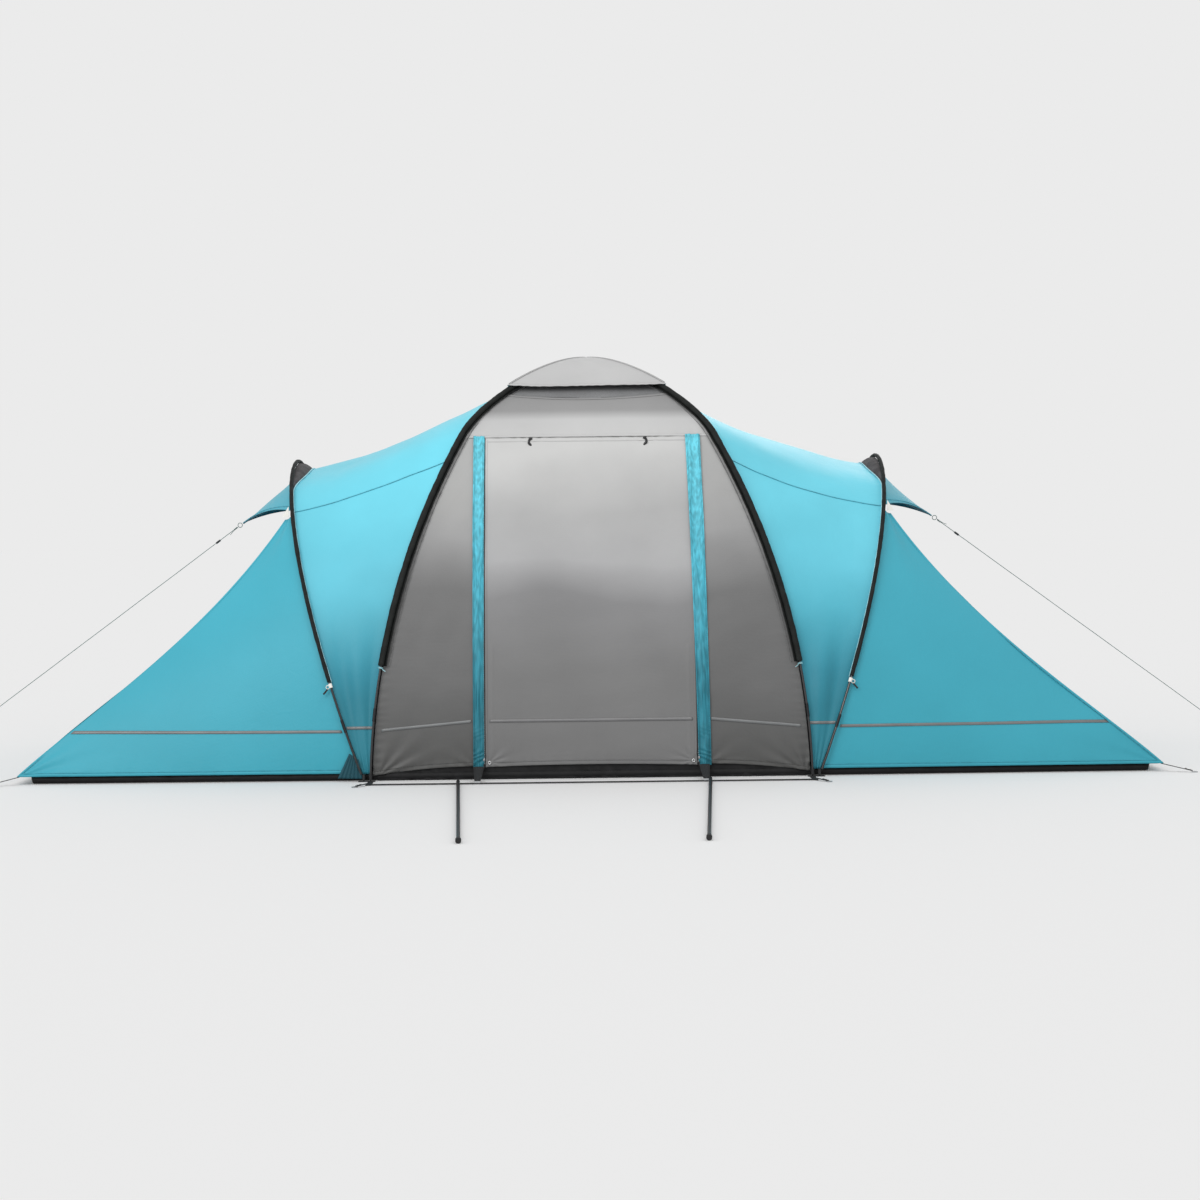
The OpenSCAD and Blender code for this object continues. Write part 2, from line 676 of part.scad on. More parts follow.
guy_line(1);  // guy_line_right
guy_runner(-1);  // guy_runner_left
guy_runner(1);  // guy_runner_right
guy_rings();
canopy_pole(canopy_left_x);  // canopy_pole_left
canopy_pole(canopy_right_x);  // canopy_pole_right
canopy_cap(canopy_left_x);  // canopy_cap_left
canopy_cap(canopy_right_x);  // canopy_cap_right
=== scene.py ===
"""Looks of a camping tent with a domed living bay and two sleeping bays. Metres, in the part's frame."""
import math
import bpy
import numpy as np
from mathutils import Matrix, Vector


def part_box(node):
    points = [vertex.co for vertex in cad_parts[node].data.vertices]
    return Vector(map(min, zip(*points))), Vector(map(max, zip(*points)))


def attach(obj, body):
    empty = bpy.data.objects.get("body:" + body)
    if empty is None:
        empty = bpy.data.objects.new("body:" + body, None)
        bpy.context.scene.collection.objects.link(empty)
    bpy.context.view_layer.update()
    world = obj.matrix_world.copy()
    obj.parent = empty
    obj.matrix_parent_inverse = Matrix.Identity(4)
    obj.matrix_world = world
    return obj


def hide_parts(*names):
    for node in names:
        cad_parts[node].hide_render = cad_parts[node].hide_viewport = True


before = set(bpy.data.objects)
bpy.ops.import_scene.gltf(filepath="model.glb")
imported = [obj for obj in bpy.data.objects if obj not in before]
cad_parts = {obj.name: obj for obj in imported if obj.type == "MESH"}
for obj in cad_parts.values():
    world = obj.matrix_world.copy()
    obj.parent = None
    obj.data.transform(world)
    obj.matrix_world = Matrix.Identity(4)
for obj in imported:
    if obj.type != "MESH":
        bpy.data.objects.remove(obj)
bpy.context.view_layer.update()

# ---------- the design's driving dimensions ----------

FOOT_X, FOOT_Y = 1.0, 1.05            # main pole feet
DOME_H = 1.955                        # crossing of the main poles
DOOR_TOP, DOOR_W = 1.575, 0.96
DOOR_SHARE, VENT_SHARE, CAP_SHARE = 0.68, 0.795, 0.824
CAP_LIFT = 0.020
ARC_R, ARC_Z0 = 3.4, -0.08            # arc of the door and the lower poles
ARC_C = FOOT_Y - math.sqrt(ARC_R**2 - ARC_Z0**2)
INSET = 0.019                         # fabric inside the poles' centre lines
ARCH_H, ARCH_FOOT_X, ARCH_LEAN = 1.475, 1.03, 0.4
END_X, END_Y, HEM_Z = 2.6, 1.01, 0.035
ROOF_SAG = {-1: 0.038, 1: 0.070}      # left and right sleeping bay
SEAM_A = 57.0                         # arch angle of the hood's and the roof's seams
HOOD_TIP = np.array([1.715, 0.0, 1.17])
HOOD_DROP, HOOD_SLACK, HOOD_LIFT = 0.045, 0.040, 0.030
BASE_STRAP_OUT = 0.150                # the base strap, outwards from the main pole feet
SLEEVE_END_Z, ARCH_SLEEVE_Z = 0.52, 0.45
STRIP_X, STRIP_W = 0.512, 0.046
STRIPE_Z, STRIPE_H, STRIPE_LIFT = 0.238, 0.013, 0.0022
CLOTH = 0.0011                        # thickness of every shown fabric
LEFT, RIGHT, FRONT, BACK = -1, 1, -1, 1

CAMERA_AT = (-0.054, -11.061, 1.187)
CAMERA_YAW, CAMERA_PITCH, CAMERA_ROLL = 0.57, 2.16, -0.63
LENS, SENSOR = 66.66, 36.0

# The taut right-hand guy line's route.
GUY_PATH = [
    (1.740, 0, 1.152), (1.900, 0, 1.035), (2.060, 0, 0.917), (2.220, 0, 0.800),
    (2.380, 0, 0.682), (2.540, 0, 0.565), (2.700, 0, 0.447), (2.860, 0, 0.330),
    (3.020, 0, 0.212), (3.180, 0, 0.095), (3.290, 0, 0.014)]
GUY_D = 0.003


# ---------- camera, floor and light ----------

def make_camera():
    """The photograph's view: yaw to the right, pitch downwards, roll anticlockwise, in degrees."""
    yaw, pitch, roll = (math.radians(v) for v in (CAMERA_YAW, CAMERA_PITCH, CAMERA_ROLL))
    flat = math.cos(pitch)
    ahead = Vector((math.sin(yaw) * flat, math.cos(yaw) * flat, -math.sin(pitch)))
    across = Vector((math.cos(yaw), -math.sin(yaw), 0))
    above = across.cross(ahead)
    right = across * math.cos(roll) + above * math.sin(roll)
    up = above * math.cos(roll) - across * math.sin(roll)
    data = bpy.data.cameras.new("camera")
    data.lens, data.sensor_width = LENS, SENSOR
    data.clip_end = 200
    camera = bpy.data.objects.new("camera", data)
    bpy.context.scene.collection.objects.link(camera)
    turn = Matrix((right, up, -ahead)).transposed().to_4x4()
    camera.matrix_world = Matrix.Translation(CAMERA_AT) @ turn
    bpy.context.scene.camera = camera


def linear(value):
    """A 0 to 255 display value as scene light."""
    c = value / 255
    return c / 12.92 if c <= 0.04045 else ((c + 0.055) / 1.055) ** 2.4


def paint(r, g, b, gain=1.0):
    """A display colour as a linear one, scaled by gain."""
    return (linear(r) * gain, linear(g) * gain, linear(b) * gain, 1.0)


BACKDROP = 235                        # display value of the studio's walls and floor
FLOOR_ALBEDO = 0.86


def make_studio():
    """Even pale room, so that floor and wall meet without a line, and three soft lights."""
    scene = bpy.context.scene
    scene.view_settings.view_transform = "Standard"
    world = bpy.data.worlds.new("room")
    world.use_nodes = True
    world.node_tree.nodes["Background"].inputs["Color"].default_value = paint(*[BACKDROP] * 3)
    scene.world = world
    bpy.ops.mesh.primitive_grid_add(x_subdivisions=8, y_subdivisions=8, size=160)
    floor = bpy.context.object
    floor.name = "floor"
    material, shader, _ = new_material("floor", 0.9)
    glow = linear(BACKDROP) * (1 - FLOOR_ALBEDO)
    shader.inputs["Base Color"].default_value = (FLOOR_ALBEDO,) * 3 + (1,)
    shader.inputs["Specular IOR Level"].default_value = 0.0
    shader.inputs["Emission Color"].default_value = (glow, glow, glow, 1)
    shader.inputs["Emission Strength"].default_value = 1.0
    floor.data.materials.append(material)
    unlit = bpy.data.collections.new("unlit")
    unlit.objects.link(floor)
    unlit.collection_objects[0].light_linking.link_state = "EXCLUDE"
    soft_light("key_left", (-4.6, -7.6, 5.2), (0.2, 0, 0.9), 4.5, 340, unlit)
    soft_light("top_front", (0.4, -3.6, 5.2), (0.1, -0.4, 1.2), 3.5, 90, unlit)
    soft_light("back_fill", (2.5, 6.5, 5.0), (0, 0, 0.8), 4.0, 90, unlit)


def soft_light(name, place, target, size, watts, unlit):
    """A square area light that shines on everything but the floor."""
    data = bpy.data.lights.new(name, "AREA")
    data.size, data.energy = size, watts
    light = bpy.data.objects.new(name, data)
    bpy.context.scene.collection.objects.link(light)
    light.location = place
    aim = Vector(target) - Vector(place)
    light.rotation_euler = aim.to_track_quat("-Z", "Y").to_euler()
    light.light_linking.receiver_collection = unlit


# ---------- materials ----------

def new_material(name, roughness):
    material = bpy.data.materials.new(name)
    material.use_nodes = True
    shader = material.node_tree.nodes["Principled BSDF"]
    shader.inputs["Roughness"].default_value = roughness
    return material, shader, material.node_tree


def node(tree, kind, inputs=None, **settings):
    """A shader node; inputs hold values or other nodes' outputs."""
    made = tree.nodes.new("ShaderNode" + kind)
    for name, value in settings.items():
        setattr(made, name, value)
    for name, value in (inputs or {}).items():
        if isinstance(value, bpy.types.NodeSocket):
            tree.links.new(value, made.inputs[name])
        else:
            made.inputs[name].default_value = value
    return made


def ramp(tree, value, stops):
    """Colour ramp with stops of (position, colour)."""
    made = node(tree, "ValToRGB", {"Fac": value})
    made.color_ramp.interpolation = "LINEAR"
    while len(made.color_ramp.elements) < len(stops):
        made.color_ramp.elements.new(0.5)
    for element, (place, colour) in zip(made.color_ramp.elements, stops):
        element.position, element.color = place, colour
    return made.outputs["Color"]


def bumped(tree, shader, layers):
    """Stacks (height socket, strength, distance) bumps on the shader."""
    below = None
    for height, strength, distance in layers:
        inputs = {"Height": height, "Strength": strength, "Distance": distance}
        if below is not None:
            inputs["Normal"] = below
        below = node(tree, "Bump", inputs).outputs["Normal"]
    tree.links.new(below, shader.inputs["Normal"])


def textured(name, roughness):
    """A new material, its shader, its node tree and the object's coordinates."""
    material, shader, tree = new_material(name, roughness)
    return material, shader, tree, node(tree, "TexCoord").outputs["Object"]


def noise(tree, place, scale, detail, distortion=0.0):
    inputs = {"Vector": place, "Scale": scale, "Detail": detail, "Distortion": distortion}
    return node(tree, "TexNoise", inputs).outputs["Fac"]


def bands(tree, place, scale, distortion, direction="DIAGONAL"):
    inputs = {"Vector": place, "Scale": scale, "Distortion": distortion}
    return node(tree, "TexWave", inputs, wave_type="BANDS", bands_direction=direction).outputs["Fac"]


def cells(tree, place, scale):
    return node(tree, "TexVoronoi", {"Vector": place, "Scale": scale}).outputs["Distance"]


def product(tree, a, b):
    return node(tree, "Math", {0: a, 1: b}, operation="MULTIPLY").outputs[0]


def blotches(tree, place, scale, spread, detail=3.0):
    """A soft value that wanders round 1 by spread."""
    return node(tree, "MapRange", {
        "Value": noise(tree, place, scale, detail), "From Min": 0.3, "From Max": 0.7,
        "To Min": 1 - spread, "To Max": 1 + spread}).outputs["Result"]


def shaded(tree, shader, colour, factor):
    """Multiplies colour by factor, for the shader's base colour."""
    scaled = node(tree, "VectorMath", {0: colour, "Scale": factor}, operation="SCALE")
    tree.links.new(scaled.outputs["Vector"], shader.inputs["Base Color"])


def weave_height(tree, place, threads):
    """Warp and weft of about that many threads per metre."""
    waves = [bands(tree, place, threads, 0.4, axis) for axis in "XYZ"]
    pair = node(tree, "Math", {0: waves[0], 1: waves[1]}, operation="ADD").outputs[0]
    return product(tree, pair, waves[2])


RAMP_TOP = 2.0                        # height at the upper end of every fabric's colour ramp


def fabric(name, tones, roughness=0.5, spread=0.05, crease=0.3, wander=0.12, streaks=0.0):
    """Coated polyester: tones of (height above ground, colour) that paint light from above, sheen and lower
    shade by height, their edge shifted by noise up to wander; streaks paint the light and shade of long
    creases; thread weave and fine creases.
    """
    material, shader, tree, place = textured(name, roughness)
    height = node(tree, "SeparateXYZ", {"Vector": place}).outputs["Z"]
    bent = node(tree, "MapRange", {
        "Value": noise(tree, place, 1.3, 2.0), "To Min": -wander, "To Max": wander}).outputs["Result"]
    level = node(tree, "Math", {0: height, 1: bent}, operation="ADD").outputs[0]
    share = node(tree, "MapRange", {"Value": level, "From Max": RAMP_TOP}).outputs["Result"]
    colour = ramp(tree, share, [(z / RAMP_TOP, c) for z, c in tones])
    tone = blotches(tree, place, 2.6, spread)
    # streaks: painted light and shade of long creases, as lengthwise bands
    if streaks:
        upright = node(tree, "VectorMath", {0: place, 1: (1, 1, 0.02)}, operation="MULTIPLY").outputs[0]
        tone = product(tree, tone, blotches(tree, upright, 80.0, streaks, 1.0))
    shaded(tree, shader, colour, tone)
    shader.inputs["Sheen Weight"].default_value = 0.04
    shader.inputs["Sheen Roughness"].default_value = 0.4
    shader.inputs["Specular IOR Level"].default_value = 0.25
    creases = noise(tree, place, 14.0, 6.0, 1.2)
    bumped(tree, shader, [
        (weave_height(tree, place, 90.0), 0.25, 0.0006), (creases, crease, 0.004)])
    return material


def dark_cloth(name, colour, roughness=0.75):
    """Black woven cloth with paler patches that noise lays at random."""
    material, shader, tree, place = textured(name, roughness)
    cloud = noise(tree, place, 25.0, 4.0)
    lighter = tuple(c * 1.9 for c in colour[:3]) + (1,)
    tree.links.new(ramp(tree, cloud, [(0.35, colour), (0.75, lighter)]), shader.inputs["Base Color"])
    shader.inputs["Specular IOR Level"].default_value = 0.2
    folds = noise(tree, place, 40.0, 5.0)
    bumped(tree, shader, [(weave_height(tree, place, 110.0), 0.4, 0.0008), (folds, 0.4, 0.003)])
    return material


def mesh_cloth(name):
    """Fine dark insect net."""
    material, shader, tree, place = textured(name, 0.7)
    holes = cells(tree, place, 420.0)
    tone = ramp(tree, holes, [(0.0, paint(58, 59, 60)), (0.55, paint(114, 115, 116))])
    shaded(tree, shader, tone, blotches(tree, place, 4.0, 0.12))
    bumped(tree, shader, [(holes, 0.5, 0.0008)])
    return material


def webbing_cloth(name, dark, light):
    """Ribbed woven tape."""
    material, shader, tree, place = textured(name, 0.7)
    ribs = bands(tree, place, 160.0, 0.6)
    tone = ramp(tree, ribs, [(0.2, dark), (0.9, light)])
    shaded(tree, shader, tone, blotches(tree, place, 30.0, 0.2))
    bumped(tree, shader, [(ribs, 0.5, 0.0008)])
    return material


def moulded(name, colour, roughness=0.42, spread=0.12):
    """Plastic or rubber with a fine spark texture and rubbed patches."""
    material, shader, tree, place = textured(name, roughness)
    flat = node(tree, "RGB")
    flat.outputs[0].default_value = colour
    shaded(tree, shader, flat.outputs[0], blotches(tree, place, 60.0, spread))
    grain = noise(tree, place, 900.0, 2.0)
    bumped(tree, shader, [(grain, 0.25, 0.0003)])
    return material


def metal(name, colour, roughness):
    """Brushed steel."""
    material, shader, tree, place = textured(name, roughness)
    shader.inputs["Metallic"].default_value = 1.0
    scratches = noise(tree, place, 500.0, 4.0)
    tone = ramp(tree, scratches, [(0.25, tuple(c * 0.7 for c in colour[:3]) + (1,)), (0.8, colour)])
    tree.links.new(tone, shader.inputs["Base Color"])
    bumped(tree, shader, [(scratches, 0.2, 0.0003)])
    return material


def lacquered(name, colour, worn):
    """Painted tube or glass-fibre rod with faint lengthwise streaks."""
    material, shader, tree, place = textured(name, 0.35)
    streaks = noise(tree, place, 70.0, 6.0)
    tone = ramp(tree, streaks, [(0.35, colour), (0.62, colour), (0.72, worn)])
    tree.links.new(tone, shader.inputs["Base Color"])
    shader.inputs["Coat Weight"].default_value = 0.3
    shader.inputs["Coat Roughness"].default_value = 0.2
    bumped(tree, shader, [(streaks, 0.15, 0.0004)])
    return material


def tracer_cord(name):
    """Braided grey-green line with a lighter tracer."""
    material, shader, tree, place = textured(name, 0.6)
    braid = bands(tree, place, 90.0, 1.0)
    tone = ramp(tree, braid, [(0.3, paint(64, 90, 86)), (0.8, paint(84, 110, 105))])
    tree.links.new(tone, shader.inputs["Base Color"])
    bumped(tree, shader, [(braid, 0.5, 0.0008)])
    return material


def beaded_tape(name, dark, light):
    """Grey retro-reflective tape."""
    material, shader, tree, place = textured(name, 0.35)
    beads = cells(tree, place, 700.0)
    tone = ramp(tree, beads, [(0.0, light), (0.6, dark)])
    shaded(tree, shader, tone, blotches(tree, place, 9.0, 0.08))
    shader.inputs["Metallic"].default_value = 0.1
    bumped(tree, shader, [(beads, 0.3, 0.0004)])
    return material


GREY, CYAN, INNER = 0.72, 0.74, 0.8    # display target to surface colour, for this room's light


def stops(gain, rows):
    """Colour stops from rows of (height above ground, red, green, blue)."""
    return [(z, paint(r, g, b, gain)) for z, r, g, b in rows]


# Painted sheen and shade: lighter above about 0.9 m, where the coated cloth would reflect the bright room
# above, darker below.
DOOR_STOPS = stops(GREY, [
    (0.10, 126, 126, 126), (0.30, 127, 127, 127), (0.50, 128, 128, 128), (0.82, 138, 138, 139),
    (0.98, 176, 176, 177), (1.20, 177, 177, 177), (1.50, 202, 202, 201), (1.90, 205, 205, 205)])
# Painted shadow: above about 1.67 m the tone drops for the shadow that the cap's eave casts below the vent;
# lower down, painted top light.
TOP_STOPS = stops(GREY, [
    (1.50, 197, 197, 196), (1.645, 196, 196, 196), (1.690, 152, 152, 152), (1.90, 146, 146, 146)])
# Painted light and shade: darker low down and lighter towards the top, for light from above and the cloth's
# sheen.
SIDE_STOPS = stops(GREY, [
    (0.08, 94, 94, 93), (0.45, 112, 112, 112), (0.85, 117, 117, 117), (1.10, 158, 158, 158),
    (1.30, 168, 168, 167), (1.90, 190, 190, 189)])
# Painted light and shade: the roof is darkened near the ground and lightened up its slope, for light from
# above.
ROOF_STOPS = stops(CYAN, [
    (0.10, 52, 138, 156), (0.36, 48, 136, 155), (0.50, 54, 147, 168), (0.64, 68, 164, 185),
    (0.80, 88, 188, 209), (0.96, 104, 204, 225), (1.20, 112, 212, 232), (1.60, 118, 220, 240)])
END_STOPS = stops(CYAN, [
    (0.00, 64, 171, 191), (0.60, 69, 176, 197), (1.40, 74, 181, 202)])
# Painted light and shade: darker at the strips' feet, lighter towards their tops.
STRIP_STOPS = stops(CYAN, [
    (0.08, 42, 124, 141), (0.50, 50, 138, 157), (0.95, 80, 182, 203), (1.55, 104, 204, 222)])


def make_materials():
    return {
        "door": fabric("door_grey", DOOR_STOPS, roughness=0.42, crease=0.2),
        # wander kept small so that the painted eave shadow keeps a sharp edge
        "top": fabric("top_grey", TOP_STOPS, roughness=0.42, crease=0.2, wander=0.012),
        "side": fabric("side_grey", SIDE_STOPS, roughness=0.42, crease=0.25),
        "cap": fabric("cap_grey", stops(GREY, [(0, 190, 190, 190), (2, 193, 193, 193)])),
        # the roof's height tones paint its light from above and lower shade
        "roof": fabric("roof_cyan_painted_light", ROOF_STOPS, roughness=0.45),
        "end": fabric("deep_cyan", END_STOPS, roughness=0.45, spread=0.03),
        # painted shade under the hoods: a darker copy of the end panels' cyan
        "painted_underside_shade": fabric("deep_cyan_painted_shade", stops(CYAN, [(0, 30, 100, 118), (2, 40, 114, 132)])),
        # streaks paint the shade of the strips' long creases as lengthwise bands
        "strip": fabric("strip_cyan", STRIP_STOPS, crease=0.6, streaks=0.25),
        "gusset": fabric("gusset_blue", stops(CYAN, [(0, 28, 78, 90), (1, 40, 96, 108)]), crease=0.6),
        "inner": fabric("inner_white", stops(INNER, [(0, 205, 205, 200), (2, 222, 222, 218)])),
        "sleeve": dark_cloth("sleeve_black", paint(19, 21, 20)),
        "fin": dark_cloth("fin_grey", paint(60, 58, 59)),
        "skirt": dark_cloth("skirt_black", paint(20, 20, 21), roughness=0.5),
        "floor_cloth": dark_cloth("groundsheet_black", paint(14, 14, 15), roughness=0.5),
        "mesh": mesh_cloth("net"),
        "webbing": webbing_cloth("webbing_black", paint(14, 14, 15), paint(34, 34, 36)),
        "edging": webbing_cloth("edging_grey", paint(86, 86, 86), paint(118, 118, 118)),
        "piping": webbing_cloth("piping_light", paint(130, 186, 196), paint(170, 214, 222)),
        "thread_dark": webbing_cloth("thread_cyan", paint(56, 142, 160), paint(70, 160, 180)),
        # stitches take the side panels' tones, with their painted top light and lower shade
        "thread_grey": fabric("thread_grey", SIDE_STOPS, roughness=0.6),
        "thread_light": webbing_cloth("thread_light", paint(196, 214, 216), paint(232, 238, 238)),
        "black_plastic": moulded("black_plastic", paint(26, 26, 28)),
        "white_plastic": moulded("white_plastic", paint(218, 216, 210), spread=0.05),
        "grey_plastic": moulded("grey_plastic", paint(150, 152, 154)),
        "rubber": moulded("rubber", paint(20, 20, 21), roughness=0.7),
        "rod": lacquered("fibreglass", paint(24, 24, 26), paint(48, 48, 47)),
        "tube": lacquered("painted_tube", paint(24, 24, 26), paint(60, 60, 62)),
        "steel": metal("steel", paint(196, 198, 200), 0.32),
        "bright": metal("bright_steel", paint(240, 240, 240), 0.25),
        "ferrule": metal("dark_steel", paint(58, 58, 60), 0.4),
        "cord": tracer_cord("guy_cord"),
        "tape": beaded_tape("reflective", paint(104, 106, 107), paint(124, 126, 126)),
        "door_tape": beaded_tape("reflective_faint", paint(106, 106, 107), paint(116, 116, 116)),
    }


# ---------- the tent's surfaces, as formulas ----------

def vec(x, y, z):
    return np.stack(np.broadcast_arrays(x, y, z), -1).astype(float)


def unit(v):
    return v / np.maximum(np.linalg.norm(v, axis=-1, keepdims=True), 1e-12)


def mix(a, b, t):
    return a + (b - a) * t


def arc_out(z):
    """Outward distance of the door's arc at height z."""
    return ARC_C + np.sqrt(ARC_R**2 - (z - ARC_Z0) ** 2)


CROWN_RISE = (DOOR_TOP - ARC_Z0) / ARC_R
CROWN = [np.array([arc_out(DOOR_TOP), DOOR_TOP])]
CROWN += [CROWN[0] + 0.18 * np.array([-CROWN_RISE, math.sqrt(1 - CROWN_RISE**2)])]
CROWN += [np.array([0.2, DOME_H]), np.array([0.0, DOME_H])]


def leg(w):
    """[outward distance, height] on a main pole's leg, from 0 at the foot to 1 on top."""
    w = np.asarray(w, float)
    z = DOOR_TOP * w / DOOR_SHARE
    low = np.stack([arc_out(np.minimum(z, DOOR_TOP)), z], -1)
    s = np.clip((w - DOOR_SHARE) / (1 - DOOR_SHARE), 0, 1)[..., None]
    high = (1 - s) ** 3 * CROWN[0] + 3 * s * (1 - s) ** 2 * CROWN[1]
    high = high + 3 * s * s * (1 - s) * CROWN[2] + s**3 * CROWN[3]
    return np.where((w <= DOOR_SHARE)[..., None], low, high)


def leg_in(w, d):
    """The same leg moved inwards by d."""
    w = np.asarray(w, float)
    slope = unit(leg(np.minimum(1, w + 0.004)) - leg(np.maximum(0, w - 0.004)))
    return leg(w) - np.asarray(d)[..., None] * np.stack([slope[..., 1], -slope[..., 0]], -1)


def height_share(z):
    """Leg share at height z, up to the door's top."""
    return DOOR_SHARE * z / DOOR_TOP


def leg_pt(w, d=0.0):
    """Front right main pole at leg share w, moved inwards by d."""
    p = leg_in(w, d)
    return vec(FOOT_X / FOOT_Y * p[..., 0], -p[..., 0], p[..., 1])


def face_half(w):
    """Half the width of the grey front at leg share w."""
    return FOOT_X / FOOT_Y * leg_in(w, INSET)[..., 0] - 0.014


def face_pt(x, w, d=0.0):
    """The front's surface at x and leg share w, moved outwards by d."""
    p = leg_in(w, INSET - d)
    return vec(x, -p[..., 0], p[..., 1])


def arch_pt(a, d=0.0):
    """Right arch pole, by angle in degrees from its front foot."""
    r = np.radians(a)
    s = np.sin(r)
    lean = ARCH_LEAN * (1 - np.power(np.maximum(1 - s, 0), 1.35))
    return vec(ARCH_FOOT_X + lean, -(FOOT_Y - d) * np.cos(r), (ARCH_H - d) * s)


def arch_angle(z):
    return np.degrees(np.arcsin(z / ARCH_H))


def cap_pt(a, b, lift=CAP_LIFT):
    """The roof cap, a and b from -1 to 1 between its eaves."""
    m = np.maximum(np.maximum(np.abs(a), np.abs(b)), 1e-6)
    p = leg_in(1 - (1 - CAP_SHARE) * m, -lift)
    return vec(FOOT_X / FOOT_Y * p[..., 0] * a / m, p[..., 0] * b / m, p[..., 1])


def crown_share(a):
    """0 away from an arch's crown and 1 on it."""
    t = np.clip((np.sin(np.radians(a)) - 0.90) / 0.10, 0, 1)
    return t * t * (3 - 2 * t)


FIN_W, FIN_DROP = 0.066, 0.022        # the web between the arch sleeve and the roof, at the crown


def roof_edge(a):
    """Where the sleeping bay's roof meets the arch, by the arch's angle."""
    k = crown_share(a)
    q = arch_pt(a, INSET + FIN_DROP * k)
    return q - vec(0.005 + FIN_W * k, 0, 0)


def roof_pt(u, a, depth):
    """Sleeping bay's roof: u from the main poles to the arch, a the arch's angle, depth its sag."""
    w = np.where(a <= 90, a / 90, 2 - a / 90)
    side = np.where(a <= 90, -1.0, 1.0)
    p = leg_in(w, INSET)
    start = vec(FOOT_X / FOOT_Y * p[..., 0] + 0.016, side * p[..., 0], p[..., 1])
    r = np.radians(a)
    sag = depth * 4 * u * (1 - u) * np.sin(r) ** 3
    return mix(start, roof_edge(a), u[..., None]) + sag[..., None] * vec(0, np.cos(r), -np.sin(r))


def seam_pt(f):
    """Ridge of the end, from its ground corner, 0, to the arch, 1."""
    p = arch_pt(SEAM_A, INSET) + np.array([0.005, 0, 0])
    corner = np.array([END_X, -END_Y, HEM_Z])
    s = (4 * f * (1 - f) * np.sqrt(f))[..., None]
    return mix(corner, p, f[..., None]) - s * np.array([0.060, -0.020, 0.070])


def end_leg(f):
    """The end's edge along the arch's lower leg."""
    return arch_pt(mix(arch_angle(HEM_Z), SEAM_A, f), INSET) + np.array([0.005, 0, 0])


def end_side(u, f):
    """The end's triangular side, u from the arch to the ridge."""
    return mix(end_leg(f), seam_pt(f), u[..., None])


def end_slope(u, f):
    """The end's sloping face, u from the front ridge to the back one."""
    s = seam_pt(f)
    return mix(s, s * np.array([1, -1, 1]), u[..., None])


def hood_pt(a, r):
    """The hood: a the arch's angle, r from the arch to the hood's point."""
    b = ((a - 90) / (90 - SEAM_A)) ** 2
    p = arch_pt(a, INSET - 0.002) + vec(0.006, 0, -HOOD_DROP * (1 - b))
    rise = HOOD_LIFT * 4 * r * (1 - r) * b - HOOD_SLACK * np.sqrt(r) * (1 - r) * (1 - b)
    return mix(p, HOOD_TIP, r[..., None]) + vec(0, 0, rise)


def handed(p, side):
    """A point of the right half, moved to the given side."""
    return p * np.array([side, 1, 1])


def faced(p, face):
    """A point of the front half, moved to the given face."""
    return p * np.array([1, -face, 1])


def turned(p, side, face):
    """A point of the front right corner, moved to another corner."""
    return p * np.array([side, -face, 1])


def hand_name(side):
    return "left" if side < 0 else "right"


def face_name(face):
    return "front" if face < 0 else "back"


CORNERS = [(side, face) for side in (LEFT, RIGHT) for face in (FRONT, BACK)]


# ---------- folds ----------

def ripple(p, size, height, seed):
    """Smooth uneven waves of about that size."""
    rng = np.random.default_rng(seed)
    total = 0
    for _ in range(7):
        way = unit(rng.normal(size=3))
        turns = 2 * math.pi / (size * rng.uniform(0.7, 1.6))
        total = total + np.sin(p @ way * turns + rng.uniform(0, 2 * math.pi))
    return height * total / 7 ** 0.5


def star(p, centre, count, reach, height):
    """Folds that fan out from a held point."""
    d = p - np.asarray(centre, float)
    r = np.linalg.norm(d, axis=-1)
    angle = np.arctan2(d[..., 2], d[..., 0])
    swell = (r / reach) * np.exp(1 - r / reach)
    return height * np.sin(count * angle + 3 * np.sin(2 * angle)) * swell


def pucker(distance, along, pitch, depth, height):
    """Small gathers that die away from a sewn edge."""
    beat = np.sin(2 * math.pi * along / pitch + 2.2 * np.sin(along * 23.0))
    return height * beat * np.exp(-np.maximum(distance, 0) / depth)


# ---------- mesh building ----------

def steps(n, crowd=0.5, low=0.0, high=1.0):
    """n + 1 values from low to high, closer together at both ends."""
    t = np.linspace(0, 1, n + 1)
    return low + (high - low) * mix(t, 0.5 - 0.5 * np.cos(math.pi * t), crowd)


def normals(p):
    return unit(np.cross(np.gradient(p, axis=1), np.gradient(p, axis=0)))


def area_of(p):
    a, b = p[1:, 1:] - p[:-1, :-1], p[1:, :-1] - p[:-1, 1:]
    return float(np.linalg.norm(np.cross(a, b), axis=-1).sum() / 2)


def extent_of(p):
    """Longest run along the grid's columns and along its rows."""
    across = np.linalg.norm(np.diff(p, axis=1), axis=-1).sum(1).max()
    along = np.linalg.norm(np.diff(p, axis=0), axis=-1).sum(0).max()
    return float(across), float(along)


